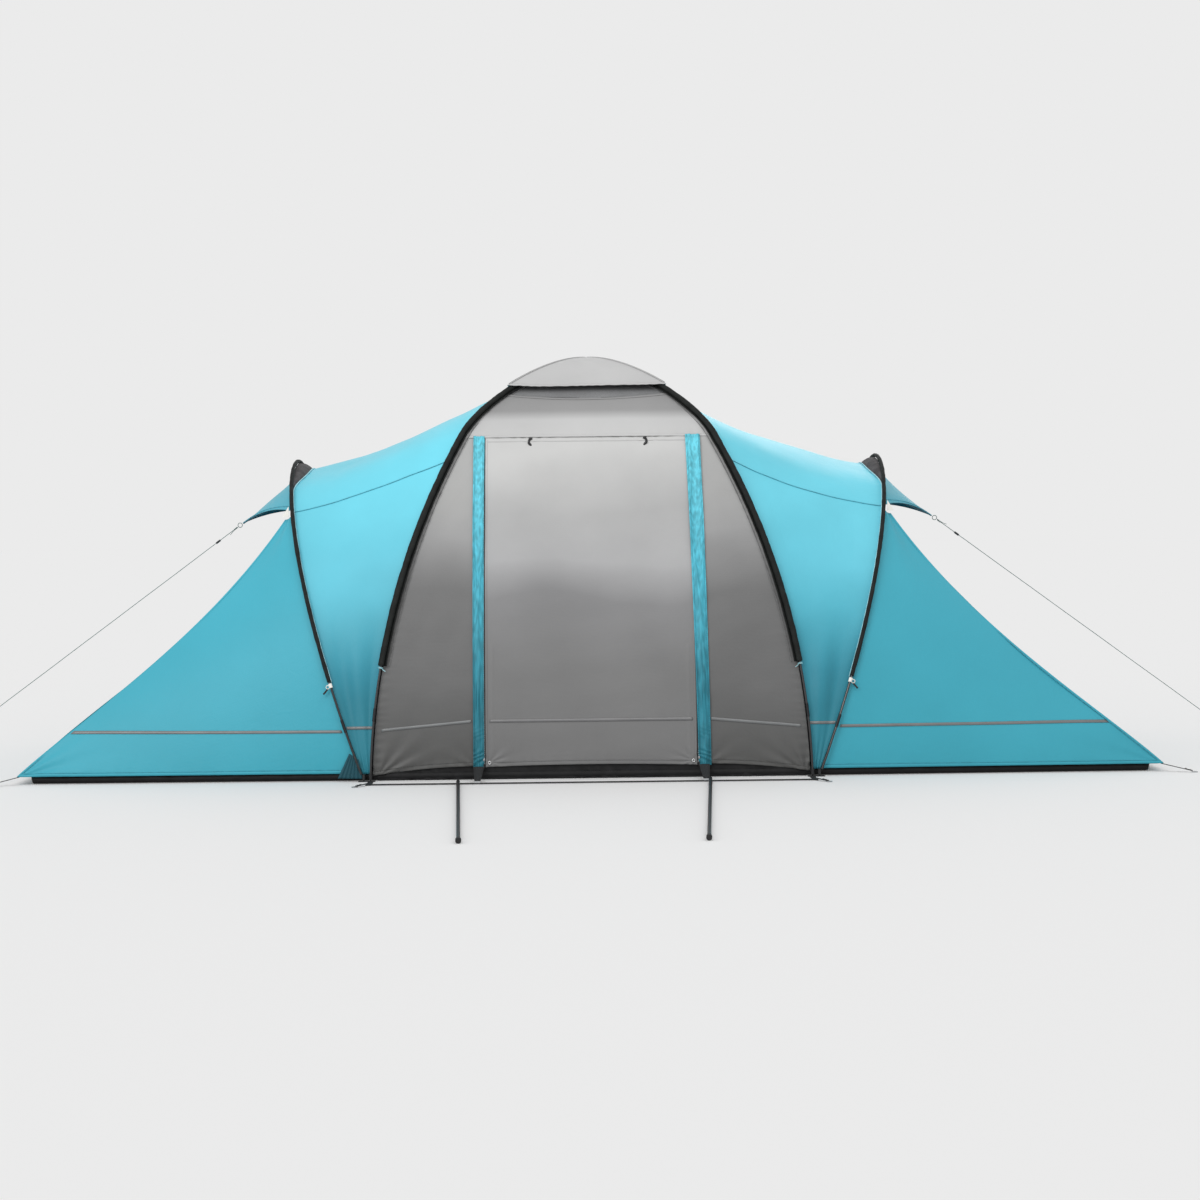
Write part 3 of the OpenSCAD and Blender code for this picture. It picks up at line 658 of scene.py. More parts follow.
class Shape:
    """Gathers grids, tubes and small blocks, and makes one piece of them."""

    def __init__(self):
        self.points, self.faces, self.slots = [], [], []
        self.area, self.flat = 0.0, (0.0, 0.0)
        self.count = 0

    def add(self, points, faces, slot):
        self.points.append(np.asarray(points, float).reshape(-1, 3))
        self.faces += [[i + self.count for i in f] for f in faces]
        self.slots += [slot] * len(faces)
        self.count += len(self.points[-1])

    def grid(self, p, slot=0, loop=False):
        rows, cols = p.shape[:2]
        i, j = np.meshgrid(np.arange(rows - 1), np.arange(cols if loop else cols - 1), indexing="ij")
        k = (j + 1) % cols
        quads = np.stack([i * cols + j, i * cols + k, (i + 1) * cols + k, (i + 1) * cols + j], -1)
        self.add(p, quads.reshape(-1, 4).tolist(), slot)

    def cloth(self, fn, s, t, folds=None, lift=0.0, slot=0, centre=(0, 0, 0.4), counts=True):
        """A sheet fn(s, t), folded along its outward normal; folds(p, s, t) gives heights."""
        ss, tt = np.meshgrid(s, t)
        p = fn(ss, tt)
        out = normals(p)
        sign = 1.0 if (out * (p - np.asarray(centre, float))).sum() > 0 else -1.0
        if counts:
            self.area += area_of(p)
            self.flat = tuple(max(a, b) for a, b in zip(self.flat, extent_of(p)))
        height = lift + (folds(p, ss, tt) if folds is not None else 0)
        p = p + out * sign * (np.asarray(height) * np.ones(p.shape[:2]))[..., None]
        self.grid(p if sign > 0 else p[:, ::-1], slot)
        return p

    def tube(self, path, rx, ry, ref, n=12, slot=0, power=1.0, bumps=None):
        """A closed tube along path; rx lies square to ref, ry along it; power above 1 squares it."""
        p = np.asarray(path, float)
        t = unit(np.gradient(p, axis=0))
        side = unit(np.cross(t, np.broadcast_to(np.asarray(ref, float), t.shape)))
        up = np.cross(side, t)
        k = np.arange(n) * 2 * math.pi / n
        c = np.sign(np.cos(k)) * np.abs(np.cos(k)) ** (1 / power)
        s = np.sign(np.sin(k)) * np.abs(np.sin(k)) ** (1 / power)
        rx = np.broadcast_to(rx, len(p))[:, None, None]
        ry = np.broadcast_to(ry, len(p))[:, None, None]
        offset = side[:, None] * c[None, :, None] * rx + up[:, None] * s[None, :, None] * ry
        if bumps is not None:
            offset = offset * (1 + bumps(p[:, None] + offset))[..., None]
        rings = p[:, None] + offset
        start = self.count
        self.grid(rings, slot, loop=True)
        last = start + (len(p) - 1) * n
        self.faces += [[start + i for i in range(n)][::-1], [last + i for i in range(n)]]
        self.slots += [slot, slot]

    def blocks(self, centres, forward, up, size, slot=0):
        """A small rounded block at each centre, such as a stitch or a zip's tooth."""
        f = unit(np.asarray(forward, float))
        u = unit(np.asarray(up, float))
        r = unit(np.cross(f, u))
        for c, a, b, d in zip(np.asarray(centres, float), f, u, r):
            corners = [c + a * size[0] / 2 * x + d * size[1] / 2 * y * q + b * size[2] * z
                       for z, q in ((0, 1), (1, 0.6)) for x, y in ((-1, -1), (1, -1), (1, 1), (-1, 1))]
            self.add(corners, [[0, 3, 2, 1], [4, 5, 6, 7], [0, 1, 5, 4], [1, 2, 6, 5],
                               [2, 3, 7, 6], [3, 0, 4, 7]], slot)

    def ring(self, centre, axis, radius, thick, n=28, slot=0):
        """A round wire ring."""
        z = unit(np.asarray(axis, float))
        x = unit(np.cross(z, [0.3, 0.9, 0.2]))
        y = np.cross(z, x)
        k = np.linspace(0, 2 * math.pi, n + 1)[:, None]
        path = np.asarray(centre) + radius * (np.cos(k) * x + np.sin(k) * y)
        self.tube(path, thick, thick, z, n=8, slot=slot)

    def make(self, name, materials, body, nodes=(), solid=0.0):
        """Makes the piece, solid thick if that is given, on its body and in place of its CAD nodes."""
        mesh = bpy.data.meshes.new(name)
        mesh.from_pydata(np.concatenate(self.points).tolist(), [], self.faces)
        for m in materials:
            mesh.materials.append(M[m])
        mesh.polygons.foreach_set("material_index", self.slots)
        mesh.polygons.foreach_set("use_smooth", [True] * len(self.faces))
        mesh.validate()
        piece = bpy.data.objects.new(name, mesh)
        bpy.context.scene.collection.objects.link(piece)
        if solid:
            wall = piece.modifiers.new("wall", "SOLIDIFY")
            wall.thickness, wall.offset = solid, -1
            # the wall's inner face takes the second material when that is the painted shade of an underside
            wall.material_offset = 1 if len(materials) > 1 and materials[1] == "painted_underside_shade" else 0
        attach(piece, body)
        if nodes:
            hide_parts(*nodes)
        return piece

    def make_sheet(self, name, materials, body, nodes):
        piece = self.make(name, materials, body, nodes, solid=CLOTH)
        return piece


def resample(path, pitch):
    """Evenly spaced points along a path, with directions."""
    p = np.asarray(path, float)
    run = np.concatenate([[0], np.cumsum(np.linalg.norm(np.diff(p, axis=0), axis=1))])
    n = max(2, int(run[-1] / pitch))
    at = (np.arange(n) + 0.5) / n * run[-1]
    points = np.stack([np.interp(at, run, p[:, k]) for k in range(3)], -1)
    return points, unit(np.gradient(points, axis=0))


def stitches(shape, path, outward, slot, pitch=0.0075, size=(0.0045, 0.0012, 0.0008)):
    """A row of stitches; outward is one direction, or one for each point of the path."""
    points, way = resample(path, pitch)
    outward = np.asarray(outward, float)
    if outward.ndim > 1:
        at = np.linspace(0, len(outward) - 1, len(points))
        known = np.arange(len(outward))
        outward = np.stack([np.interp(at, known, outward[:, k]) for k in range(3)], -1)
    shape.blocks(points, way, np.broadcast_to(outward, points.shape), size, slot)


# ---------- cords ----------

def make_guy_line(side):
    """The taut rope, its two knots and the ring at the hood's point."""
    name = hand_name(side)
    curve = bpy.data.curves.new(f"guy_line_{name}_rope", "CURVE")
    curve.dimensions = "3D"
    curve.bevel_depth, curve.bevel_resolution = GUY_D / 2, 3
    curve.use_fill_caps = True
    spline = curve.splines.new("POLY")
    spline.points.add(len(GUY_PATH) - 1)
    for point, (x, y, z) in zip(spline.points, GUY_PATH):
        point.co = (side * x, y, z, 1)
    curve.materials.append(M["cord"])
    rope = bpy.data.objects.new(f"guy_line_{name}_rope", curve)
    bpy.context.scene.collection.objects.link(rope)
    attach(rope, "tent")
    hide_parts(f"guy_line_{name}")
    knots = Shape()
    for centre, way in ((GUY_PATH[0], 1), (GUY_PATH[-1], -1)):
        at = handed(np.asarray(centre, float), side)
        along = unit(handed(np.subtract(GUY_PATH[-1], GUY_PATH[0]), side)) * way
        turns = np.linspace(0, 3.2 * 2 * math.pi, 44)[:, None]
        lift = np.array([0, 1.0, 0])
        over = np.cross(along, lift)
        coil = at + along * turns * 0.0011 + 0.0032 * (np.cos(turns) * lift + np.sin(turns) * over)
        knots.tube(coil, GUY_D / 2, GUY_D / 2, along, n=7)
        tail = coil[-1] + along * np.linspace(0, 0.03, 8)[:, None]
        tail = tail + np.linspace(0, 1, 8)[:, None] ** 2 * (over * 0.006 + lift * 0.004)
        knots.tube(tail, GUY_D / 2.4, GUY_D / 2.4, lift, n=7)
    knots.ring(handed(HOOD_TIP, side) + [side * 0.012, 0, -0.008], (0, 1, 0), 0.011, 0.0016)
    knots.make(f"guy_knots_{name}", ["cord"], "tent")


M = make_materials()
make_camera()
for hand in (LEFT, RIGHT):
    make_guy_line(hand)
make_studio()


# ---------- grey living bay ----------

SIDE_X = STRIP_X - STRIP_W / 2 + 0.006
PANEL_TOP = DOOR_SHARE - 0.0005
UNDER_SLEEVE = 0.024                  # how far the grey panels run on under the main sleeves


def side_hem(s):
    """Height of a side panel's lower edge, from the strip, 0, to the pole's foot, 1."""
    return mix(0.063, 0.024, s**2)


def side_panel(s, t):
    w = mix(height_share(side_hem(s)), PANEL_TOP, t)
    return face_pt(mix(SIDE_X, face_half(w) + UNDER_SLEEVE, s), w)


def sleeve_gathers(edge, p):
    return pucker(edge, p[..., 2], 0.034, 0.022, 0.0011)


def foot_fan(p, side, face):
    """Folds that fan out from a main pole's foot."""
    return star(p, (side * (FOOT_X - 0.03), face * FOOT_Y, 0.02), 15, 0.07, 0.0038)


def face_folds(p, s, t):
    """Folds of a front side panel: soft waves, gathers beside the pole, fans at its two feet."""
    share = height_share(np.clip(p[..., 2], 0, DOOR_TOP))
    edge = face_half(share) - np.abs(p[..., 0])
    hook = (SIDE_X + 0.01, -FOOT_Y, 0.05)
    calm = (1 - np.exp(-np.maximum(edge, 0) / 0.05)) * np.clip(s / 0.12, 0, 1)
    h = ripple(p, 0.42, 0.0035, 3) * calm + ripple(p, 0.13, 0.0007, 4)
    h = h + sleeve_gathers(edge, p) + foot_fan(p, 1, FRONT) + star(p, hook, 11, 0.045, 0.0022)
    return h + pucker(p[..., 2] - side_hem(s), p[..., 0], 0.045, 0.03, 0.0016)


def mirrored(fn, side, face=FRONT):
    return lambda s, t: turned(fn(s, t), side, face)


def as_drawn(folds, side, face=FRONT):
    """Folds worked out on the front right panel, whichever panel they are for."""
    return lambda p, s, t: folds(turned(p, side, face), s, t)


def add_hem(shape, fn, folds, s, t, slot=0, lift=0.0012):
    """A second layer of cloth along an edge."""
    return shape.cloth(fn, s, t, folds, lift=lift, slot=slot, counts=False)


def make_side_panel(side):
    shape = Shape()
    fn, folds = mirrored(side_panel, side), as_drawn(face_folds, side)
    s, t = steps(56), steps(190)
    shape.cloth(fn, s, t, folds)
    hem = add_hem(shape, fn, folds, s, steps(3, 0, 0.0, 0.012))
    stitches(shape, hem[-1], (0, -1, 0), 1)
    shape.make_sheet(f"side_panel_{hand_name(side)}_cloth", ["side", "thread_grey"], "tent",
                     [f"front_panel_{hand_name(side)}"])


def vent_edge(s):
    """Leg share of the vent's lower edge, which hangs in a shallow arc."""
    return VENT_SHARE + 0.016 - 0.014 * np.sin(math.pi * s)


def top_panel(s, t):
    w = mix(height_share(DOOR_TOP - 0.007), vent_edge(s) + 0.004, t)
    half = face_half(w) + UNDER_SLEEVE
    return face_pt(mix(-half, half, s), w, 0.003)


def top_folds(p, s, t):
    edge = np.minimum(s, 1 - s) * 1.2
    h = ripple(p, 0.45, 0.0022, 8) + pucker(edge, p[..., 2], 0.034, 0.02, 0.001)
    return h + pucker(p[..., 2] - DOOR_TOP, p[..., 0], 0.055, 0.02, 0.0008)


def make_top_panel():
    shape = Shape()
    s, t = steps(150, 0.3), steps(44)
    shape.cloth(top_panel, s, t, top_folds)
    add_hem(shape, top_panel, top_folds, s, steps(3, 0, 0.0, 0.05), lift=0.0007)
    rim = add_hem(shape, top_panel, top_folds, s, steps(3, 0, 0.955, 1.0))
    stitches(shape, rim[0], (0, -1, 0.8), 1)
    shape.make_sheet("top_panel_cloth", ["top", "top"], "tent",
                     ["front_panel_top"])


def back_panel(s, t):
    w = mix(height_share(mix(0.016, 0.06, np.sin(math.pi * s) ** 0.6)), VENT_SHARE + 0.004, t)
    half = face_half(w) + UNDER_SLEEVE
    return faced(face_pt(mix(-half, half, s), w), BACK)


def back_folds(p, s, t):
    share = height_share(np.clip(p[..., 2], 0, DOOR_TOP))
    edge = face_half(share) - np.abs(p[..., 0])
    h = ripple(p, 0.5, 0.004, 21) + sleeve_gathers(edge, p)
    for side in (LEFT, RIGHT):
        h = h + foot_fan(p, side, BACK)
    return h


def make_back_panel():
    shape = Shape()
    s, t = steps(170, 0.3), steps(210)
    shape.cloth(back_panel, s, t, back_folds)
    add_hem(shape, back_panel, back_folds, s, steps(3, 0, 0.0, 0.012))
    for at in (0.25, 0.75):
        seam = add_hem(shape, back_panel, back_folds, steps(3, 0, at - 0.004, at + 0.004), t)
        stitches(shape, seam[:, 0], (0, 1, 0.2), 1)
        stitches(shape, seam[:, -1], (0, 1, 0.2), 1)
    shape.make_sheet("back_panel_cloth", ["side", "thread_grey"], "tent",
                     ["back_panel"])


EYELET_X, EYELET_Z, TOGGLE_X = 0.462, 0.078, 0.268
EYELET = face_pt(EYELET_X, height_share(EYELET_Z), 0.0019)


def door_sheet(s, t):
    low = mix(0.058, 0.066, 1 - (2 * s - 1) ** 2)
    return face_pt(mix(-DOOR_W / 2, DOOR_W / 2, s), height_share(mix(low, DOOR_TOP - 0.005, t)))


def door_folds(p, s, t):
    """Soft waves, drawn creases under the top hem, fans at eyelets and toggles."""
    rim = np.clip(np.minimum(np.minimum(s, 1 - s) * 6, (1 - t) * 12), 0, 1)
    h = ripple(p, 0.55, 0.0030, 31) * rim + ripple(p * [1, 1, 2.2], 0.33, 0.0010, 32) * rim
    for x in (LEFT, RIGHT):
        h = h + star(p, handed(EYELET, x), 9, 0.028, 0.0022)
        h = h + star(p, (x * TOGGLE_X, p[..., 1].min(), DOOR_TOP - 0.03), 7, 0.03, 0.0010)
    h = h + pucker(DOOR_TOP - p[..., 2], p[..., 0], 0.05, 0.035, 0.0010)
    h = h + 0.0012 * np.exp(-((np.abs(p[..., 0]) - 0.447) / 0.006) ** 2) * (p[..., 2] < 0.6)
    return h + pucker(p[..., 2] - 0.06, p[..., 0], 0.06, 0.03, 0.0012)


def make_door():
    shape = Shape()
    s, t = steps(130, 0.4), steps(210, 0.3)
    shape.cloth(door_sheet, s, t, door_folds)
    foot = add_hem(shape, door_sheet, door_folds, s, steps(3, 0, 0.0, 0.012))
    add_hem(shape, door_sheet, door_folds, s, steps(3, 0, 0.985, 1.0), lift=0.0007)
    stitches(shape, foot[-1], (0, -1, 0), 1)
    for low, high in ((0.0, 0.012), (0.988, 1.0)):
        add_hem(shape, door_sheet, door_folds, steps(2, 0, low, high), t, lift=0.0007)
    shape.make_sheet("door_cloth", ["door", "door"], "door",
                     ["door_panel"])


def make_eyelets():
    shape = Shape()
    for side in (LEFT, RIGHT):
        at = handed(EYELET, side) + np.array([0, -0.0022, 0])
        shape.ring(at, (0, 1, 0.05), 0.0062, 0.0021)
        shape.ring(at + [0, -0.0006, 0], (0, 1, 0.05), 0.0044, 0.0010)
        # painted shade: a black disc fills each eyelet's hole, standing for the dark seen through it
        shape.ring(at + [0, 0.0010, 0], (0, 1, 0.05), 0.0016, 0.0018, slot=1)
    shape.make("eyelet_rings", ["bright", "webbing"], "door", ["door_eyelets"])


def make_toggles():
    shape = Shape()
    for side in (LEFT, RIGHT):
        head = handed(face_pt(TOGGLE_X, height_share(DOOR_TOP - 0.014), 0.003), side)
        k = np.linspace(0, 1, 16)[:, None]
        drop = head + np.array([0, -0.010, -0.030]) * k + np.array([side * 0.008, 0, 0]) * np.sin(k * 3.1)
        shape.tube(drop, 0.0060, 0.0012, (0, -1, 0.4), n=10, power=3, slot=1)
        along = np.linspace(-0.017, 0.017, 14)
        barrel = drop[-1] + np.array([side * 0.6, -0.1, 0.8]) * along[:, None]
        shape.tube(barrel, 0.0068 - 0.16 * along**2 / 0.017, 0.0068, (0, 1, 0), n=12, slot=0)
        bar = head + vec(np.linspace(-0.008, 0.008, 6), -0.001, 0)
        shape.tube(bar, 0.005, 0.0014, (0, -1, 0.4), n=10, power=3, slot=1)
    shape.make("toggles", ["black_plastic", "webbing"], "door", ["door_toggles"])


# x of each strip's inner and outer edges, both at its foot and at its top
STRIP_EDGES = {
    LEFT: ((0.486, 0.483), (STRIP_X + STRIP_W / 2, STRIP_X + STRIP_W / 2)),
    RIGHT: ((0.486, 0.457), (0.543, 0.526))}


def strip_sheet(side):
    """The strip that shields a door zip; the right one leans in and widens towards its top."""
    inner, outer = STRIP_EDGES[side]

    def fn(s, t):
        x = mix(mix(*inner, t), mix(*outer, t), s) * side
        return face_pt(x, height_share(mix(0.056, DOOR_TOP - 0.002, t)), 0.007)
    return fn


def strip_folds(p, s, t):
    """Long slack folds that shift along the strip, and a crumpled foot."""
    x, z = s * STRIP_W, p[..., 2]
    sway = 0.010 * np.sin(z * 3.1 + 0.6) + 0.005 * np.sin(z * 9.7)
    ridge = np.exp(-((x - 0.016 - sway) / 0.006) ** 2) + 0.8 * np.exp(-((x - 0.034 + sway) / 0.005) ** 2)
    waves = 0.5 + 0.5 * np.sin(z * 11 + 4 * np.sin(z * 2.3))
    h = 0.0075 * ridge * (0.45 + 0.55 * waves) + ripple(p, 0.05, 0.0009, 41)
    crumple = np.exp(-np.maximum(z - 0.06, 0) / 0.10)
    h = h + crumple * 0.0034 * np.sin(z * 210 + x * 150 + 3 * np.sin(z * 60))
    return h + 0.0018 * np.exp(-(DOOR_TOP - z) / 0.03) * np.sin(x * 520)


def make_strips():
    shape = Shape()
    for side in (LEFT, RIGHT):
        fn = strip_sheet(side)
        shape.cloth(fn, steps(26, 0), steps(330, 0.3), strip_folds)
        for low, high, line in ((0.0, 0.10, -1), (0.90, 1.0, 0)):
            edge = add_hem(shape, fn, strip_folds, steps(3, 0, low, high), steps(330, 0.3))
            stitches(shape, edge[:, line], (0, -1, 0.2), 1, pitch=0.009)
    shape.flat = (shape.flat[0] * 2, shape.flat[1])
    shape.make_sheet("storm_strip_cloths", ["strip", "strip"], "tent",
                     ["storm_strips"])


def make_zips():
    """Woven tape with two rows of moulded teeth on each side of the door."""
    shape = Shape()
    inner, outer = DOOR_W / 2 + 0.002, STRIP_X - STRIP_W / 2 + 0.004
    middle = (inner + outer) / 2
    for side in (LEFT, RIGHT):
        def tape(s, t, side=side):
            return face_pt(mix(inner, outer, s) * side, height_share(mix(0.058, DOOR_TOP - 0.006, t)))
        shape.cloth(tape, steps(4, 0), steps(160, 0))
        line = tape(np.full(400, 0.5), np.linspace(0.012, 0.995, 400))
        points, _ = resample(line, 0.0042)
        for shift, start in ((-0.0016, 0), (0.0016, 1)):
            teeth = points[start::2] + np.array([shift, -0.0004, 0])
            flat = np.broadcast_to([1.0, 0, 0], teeth.shape)
            shape.blocks(teeth, flat, np.broadcast_to([0, -1.0, 0.15], teeth.shape),
                         (0.0048, 0.0030, 0.0016), 1)
        shape.blocks([[middle * side, line[0][1] - 0.001, line[0][2] - 0.002]], [[1.0, 0, 0]],
                     [[0, -1.0, 0]], (0.010, 0.006, 0.002), 2)
    shape.make("zips", ["webbing", "thread_light", "steel"], "tent", ["zip_tapes"])


def make_slider(side):
    """Die-cast zip slider with a folded cord pull."""
    name = hand_name(side)
    low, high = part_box(f"zip_slider_{name}")
    x = (low.x + high.x) / 2
    y = high.y
    shape = Shape()
    body_z = np.linspace(high.z - 0.022, high.z, 12)
    taper = 0.0034 + 0.0010 * np.linspace(0, 1, 12)
    shape.tube(np.stack([np.full(12, x), np.full(12, y - 0.0032), body_z], -1), taper, 0.0026,
               (0, 1, 0), n=14, power=2.2)
    shape.ring((x, y - 0.0058, high.z - 0.009), (1, 0, 0), 0.0030, 0.0009, n=16)
    tag = np.linspace(high.z - 0.010, low.z + 0.001, 18)
    sway = y - 0.0066 + 0.0008 * np.sin(np.linspace(0, 4, 18))
    shape.tube(np.stack([np.full(18, x), sway, tag], -1), 0.0029, 0.0010, (0, 1, 0), n=10,
               power=3, slot=1)
    shape.make(f"slider_{name}", ["steel", "webbing"], f"zip_slider_{name}",
               [f"zip_slider_{name}"])


def skirt_sheet(s, t):
    x = mix(-FOOT_X + 0.03, FOOT_X - 0.03, s)
    w = height_share(mix(0.002, 0.066, t))
    return face_pt(x, w, -0.009)


def skirt_folds(p, s, t):
    slack = 0.5 + 0.5 * np.sin(p[..., 0] * 9 + 1)
    h = 0.0016 * np.sin(p[..., 0] * 90 + 6 * np.sin(p[..., 0] * 7) + p[..., 2] * 70) * slack
    return h + ripple(p, 0.12, 0.0014, 51)


def make_skirt(face):
    shape = Shape()
    name = face_name(face)
    shape.cloth(lambda s, t: faced(skirt_sheet(s, t), face), steps(320, 0), steps(14, 0), skirt_folds)
    shape.make_sheet(f"skirt_{name}_cloth", ["skirt"], "tent", [f"skirt_{name}"])


def make_vent(face):
    """Net strip under the cap's eave, with a bound lower edge."""
    def net(s, t):
        w = mix(vent_edge(s) + 0.001, CAP_SHARE + 0.028, t)
        half = face_half(w) + UNDER_SLEEVE
        return faced(face_pt(mix(-half, half, s), w, -0.002), face)
    shape = Shape()
    name = face_name(face)
    shape.cloth(net, steps(60, 0), steps(14, 0), lambda p, s, t: ripple(p, 0.2, 0.0012, 61))
    add_hem(shape, net, None, steps(60, 0), steps(2, 0, 0.0, 0.10), slot=1)
    shape.make_sheet(f"vent_net_{name}", ["mesh", "webbing"], "tent",
                     [f"vent_mesh_{name}"])


def make_cap():
    """Roof cap over the crossing: four fields between stitched ridges, with a doubled eave."""
    def folds(p, s, t):
        a, b = np.abs(s), np.abs(t)
        edge = 1 - np.maximum(a, b)
        hip = np.abs(a - b)
        h = ripple(p, 0.35, 0.0022, 71) * np.minimum(hip * 4, 1)
        h = h - 0.006 * np.minimum(hip * 3, 1) * np.maximum(a, b) ** 2
        return h + pucker(edge * 0.5, np.where(a > b, p[..., 1], p[..., 0]), 0.05, 0.02, 0.0009)
    shape = Shape()
    grid = steps(108, 0.3, -1, 1)
    shape.cloth(cap_pt, grid, grid, folds, centre=(0, 0, 1.0))
    for a in (-1, 1):
        for turned in (False, True):
            band = steps(3, 0, 0.965 * a, a)
            args = (grid, band) if turned else (band, grid)
            shape.cloth(cap_pt, *args, folds, lift=0.0012, centre=(0, 0, 1.0), counts=False)
    for turn in (-1, 1):
        for end in (-1, 1):
            m = np.linspace(0.02, 0.97, 60)
            hip = cap_pt(m * end, m * end * turn, CAP_LIFT + 0.0008)
            shape.tube(hip, 0.005, 0.0006, (0, 0, 1), n=8, slot=0, power=2)
            for shift in (-0.0040, 0.0040):
                stitches(shape, hip + np.array([shift * turn, shift, 0.0002]), (0, 0, 1), 1)
    shape.make_sheet("roof_cap_cloth", ["cap", "cap"], "tent",
                     ["roof_cap"])


def sleeve_bumps(p):
    return ripple(p, 0.06, 0.05, 81) + ripple(p, 0.022, 0.03, 82)


def make_main_sleeve(side, face):
    """Black sleeve with its sewn-on band, and the grey binding along the fabric's edge."""
    w = np.linspace(height_share(SLEEVE_END_Z), 0.88, 250)
    path = turned(leg_pt(w), side, face)
    shape = Shape()
    ref = unit(np.cross(np.gradient(path, axis=0).mean(0), [0, 0, 1.0]))
    out = unit(path * [1, 1, 0] + [0, 0, 0.4])
    shape.tube(path, 0.0125, 0.0150, ref, n=18, bumps=sleeve_bumps)
    band_in = turned(leg_pt(w, 0.012), side, face)
    shape.tube(band_in, 0.0022, 0.0190, ref, n=12, power=2.5, bumps=sleeve_bumps)
    edge = turned(face_pt(face_half(w) - 0.004, w, 0.0012), side, face)
    shape.tube(edge, 0.0019, 0.0026, ref, n=8, slot=1)
    stitches(shape, turned(face_pt(face_half(w) - 0.011, w, 0.0012), side, face), out, 2)
    name = f"{face_name(face)}_{hand_name(side)}"
    shape.make(f"sleeve_{name}_cloth", ["sleeve", "edging", "thread_grey"], "tent",
               [f"sleeve_{name}"])


def make_arch_sleeve(side):
    start = arch_angle(ARCH_SLEEVE_Z)
    a = np.linspace(start, 180 - start, 420)
    shape = Shape()
    path = handed(arch_pt(a), side)
    ref = (side * 1.0, 0, -0.3)
    shape.tube(path, 0.0095, 0.0095, ref, n=16, bumps=sleeve_bumps)
    fin_a = np.linspace(start, 180 - start, 260)

    def fin(s, t):
        edge = roof_edge(t) + vec(0.002, 0, 0)
        top = arch_pt(t, 0.010) - vec(0.006, 0, 0)
        bow = 0.010 * np.sin(math.pi * s) * crown_share(t)
        return handed(mix(top, edge, s[..., None]) + bow[..., None] * unit(arch_pt(t) * [0, 1, 1]), side)
    folds = lambda p, s, t: pucker(0.02 * s, t * 0.0257, 0.03, 0.03, 0.0012) * crown_share(t)
    shape.cloth(fin, steps(10, 0), fin_a, folds, slot=1)
    binding = handed(roof_edge(fin_a) + unit(arch_pt(fin_a) * [0, 1, 1]) * 0.005 - vec(0.004, 0, 0), side)
    shape.tube(binding, 0.0030, 0.0030, (1, 0, 0), n=8, slot=2)
    shape.make(f"sleeve_arch_{hand_name(side)}_cloth", ["sleeve", "fin", "piping"], "tent",
               [f"sleeve_arch_{hand_name(side)}"])


# ---------- sleeping bays ----------

ROOF_A0 = 1.3                         # arch angle at the roof's hem
ROOF_SEED, END_SEED = {LEFT: 91, RIGHT: 97}, {LEFT: 101, RIGHT: 107}


def bay_roof(side, face=FRONT):
    def drawn(u, t):
        return roof_pt(u, mix(ROOF_A0, 180 - ROOF_A0, t), ROOF_SAG[side])
    return mirrored(drawn, side, face)


def roof_folds(seed):
    def folds(p, s, t):
        calm = np.minimum(np.minimum(s, 1 - s) * 5, 1)
        h = ripple(p, 0.60, 0.0065, seed) * calm + ripple(p, 0.16, 0.0009, seed + 1) * calm
        h = h + pucker(s * 0.6, p[..., 2] + t, 0.04, 0.02, 0.0012)
        h = h + pucker((1 - s) * 0.6, p[..., 2] + t, 0.04, 0.02, 0.0010)
        fan = np.exp(-p[..., 2] / 0.22)
        h = h + 0.0035 * fan * np.sin(s * 21 + 5 * p[..., 2]) * np.sin(math.pi * s)
        low = np.sin(math.pi * s) * np.exp(-((p[..., 2] - 0.45) / 0.25) ** 2)
        return h - 0.010 * low * np.sin(s * 9 + 1)
    return folds


def make_bay_roof(side):
    """The roof in one sheet over both faces, with a felled seam across each face."""
    shape = Shape()
    fn = bay_roof(side)
    folds = as_drawn(roof_folds(ROOF_SEED[side]), side)
    across = steps(76, 0.5)
    shape.cloth(fn, across, steps(330, 0.2), folds, centre=(side * 0.6, 0, 0.4))
    for angle in (SEAM_A, 180 - SEAM_A):
        t = (angle - ROOF_A0) / (180 - 2 * ROOF_A0)
        seam = add_hem(shape, fn, folds, across, steps(2, 0, t - 0.0008, t + 0.0008), lift=0.0016)
        stitches(shape, seam[0], (0, -1 if angle < 90 else 1, 1.0), 1, size=(0.0055, 0.0022, 0.0008))
    name = hand_name(side)
    shape.make_sheet(f"bay_roof_{name}_cloth", ["roof", "thread_dark"], "tent",
                     [f"bedroom_roof_{name}"])


def end_folds(seed):
    def folds(p, s, t):
        corner = (END_X, -END_Y, HEM_Z)
        calm = np.minimum(t * 6, 1) * np.minimum((1 - t) * 4, 1)
        h = ripple(p, 0.8, 0.0050, seed) * calm
        h = h + pucker(p[..., 2] - HEM_Z, p[..., 0] + p[..., 1], 0.09, 0.04, 0.0015)
        flat = p * [1, np.sign(p[..., 1]).mean() * -1 if abs(p[..., 1].mean()) > 0.1 else 1, 1]
        h = h + star(flat, corner, 13, 0.12, 0.0030)
        peak = arch_pt(np.float64(SEAM_A), INSET)
        return h + star(flat, peak, 17, 0.10, 0.0030)
    return folds


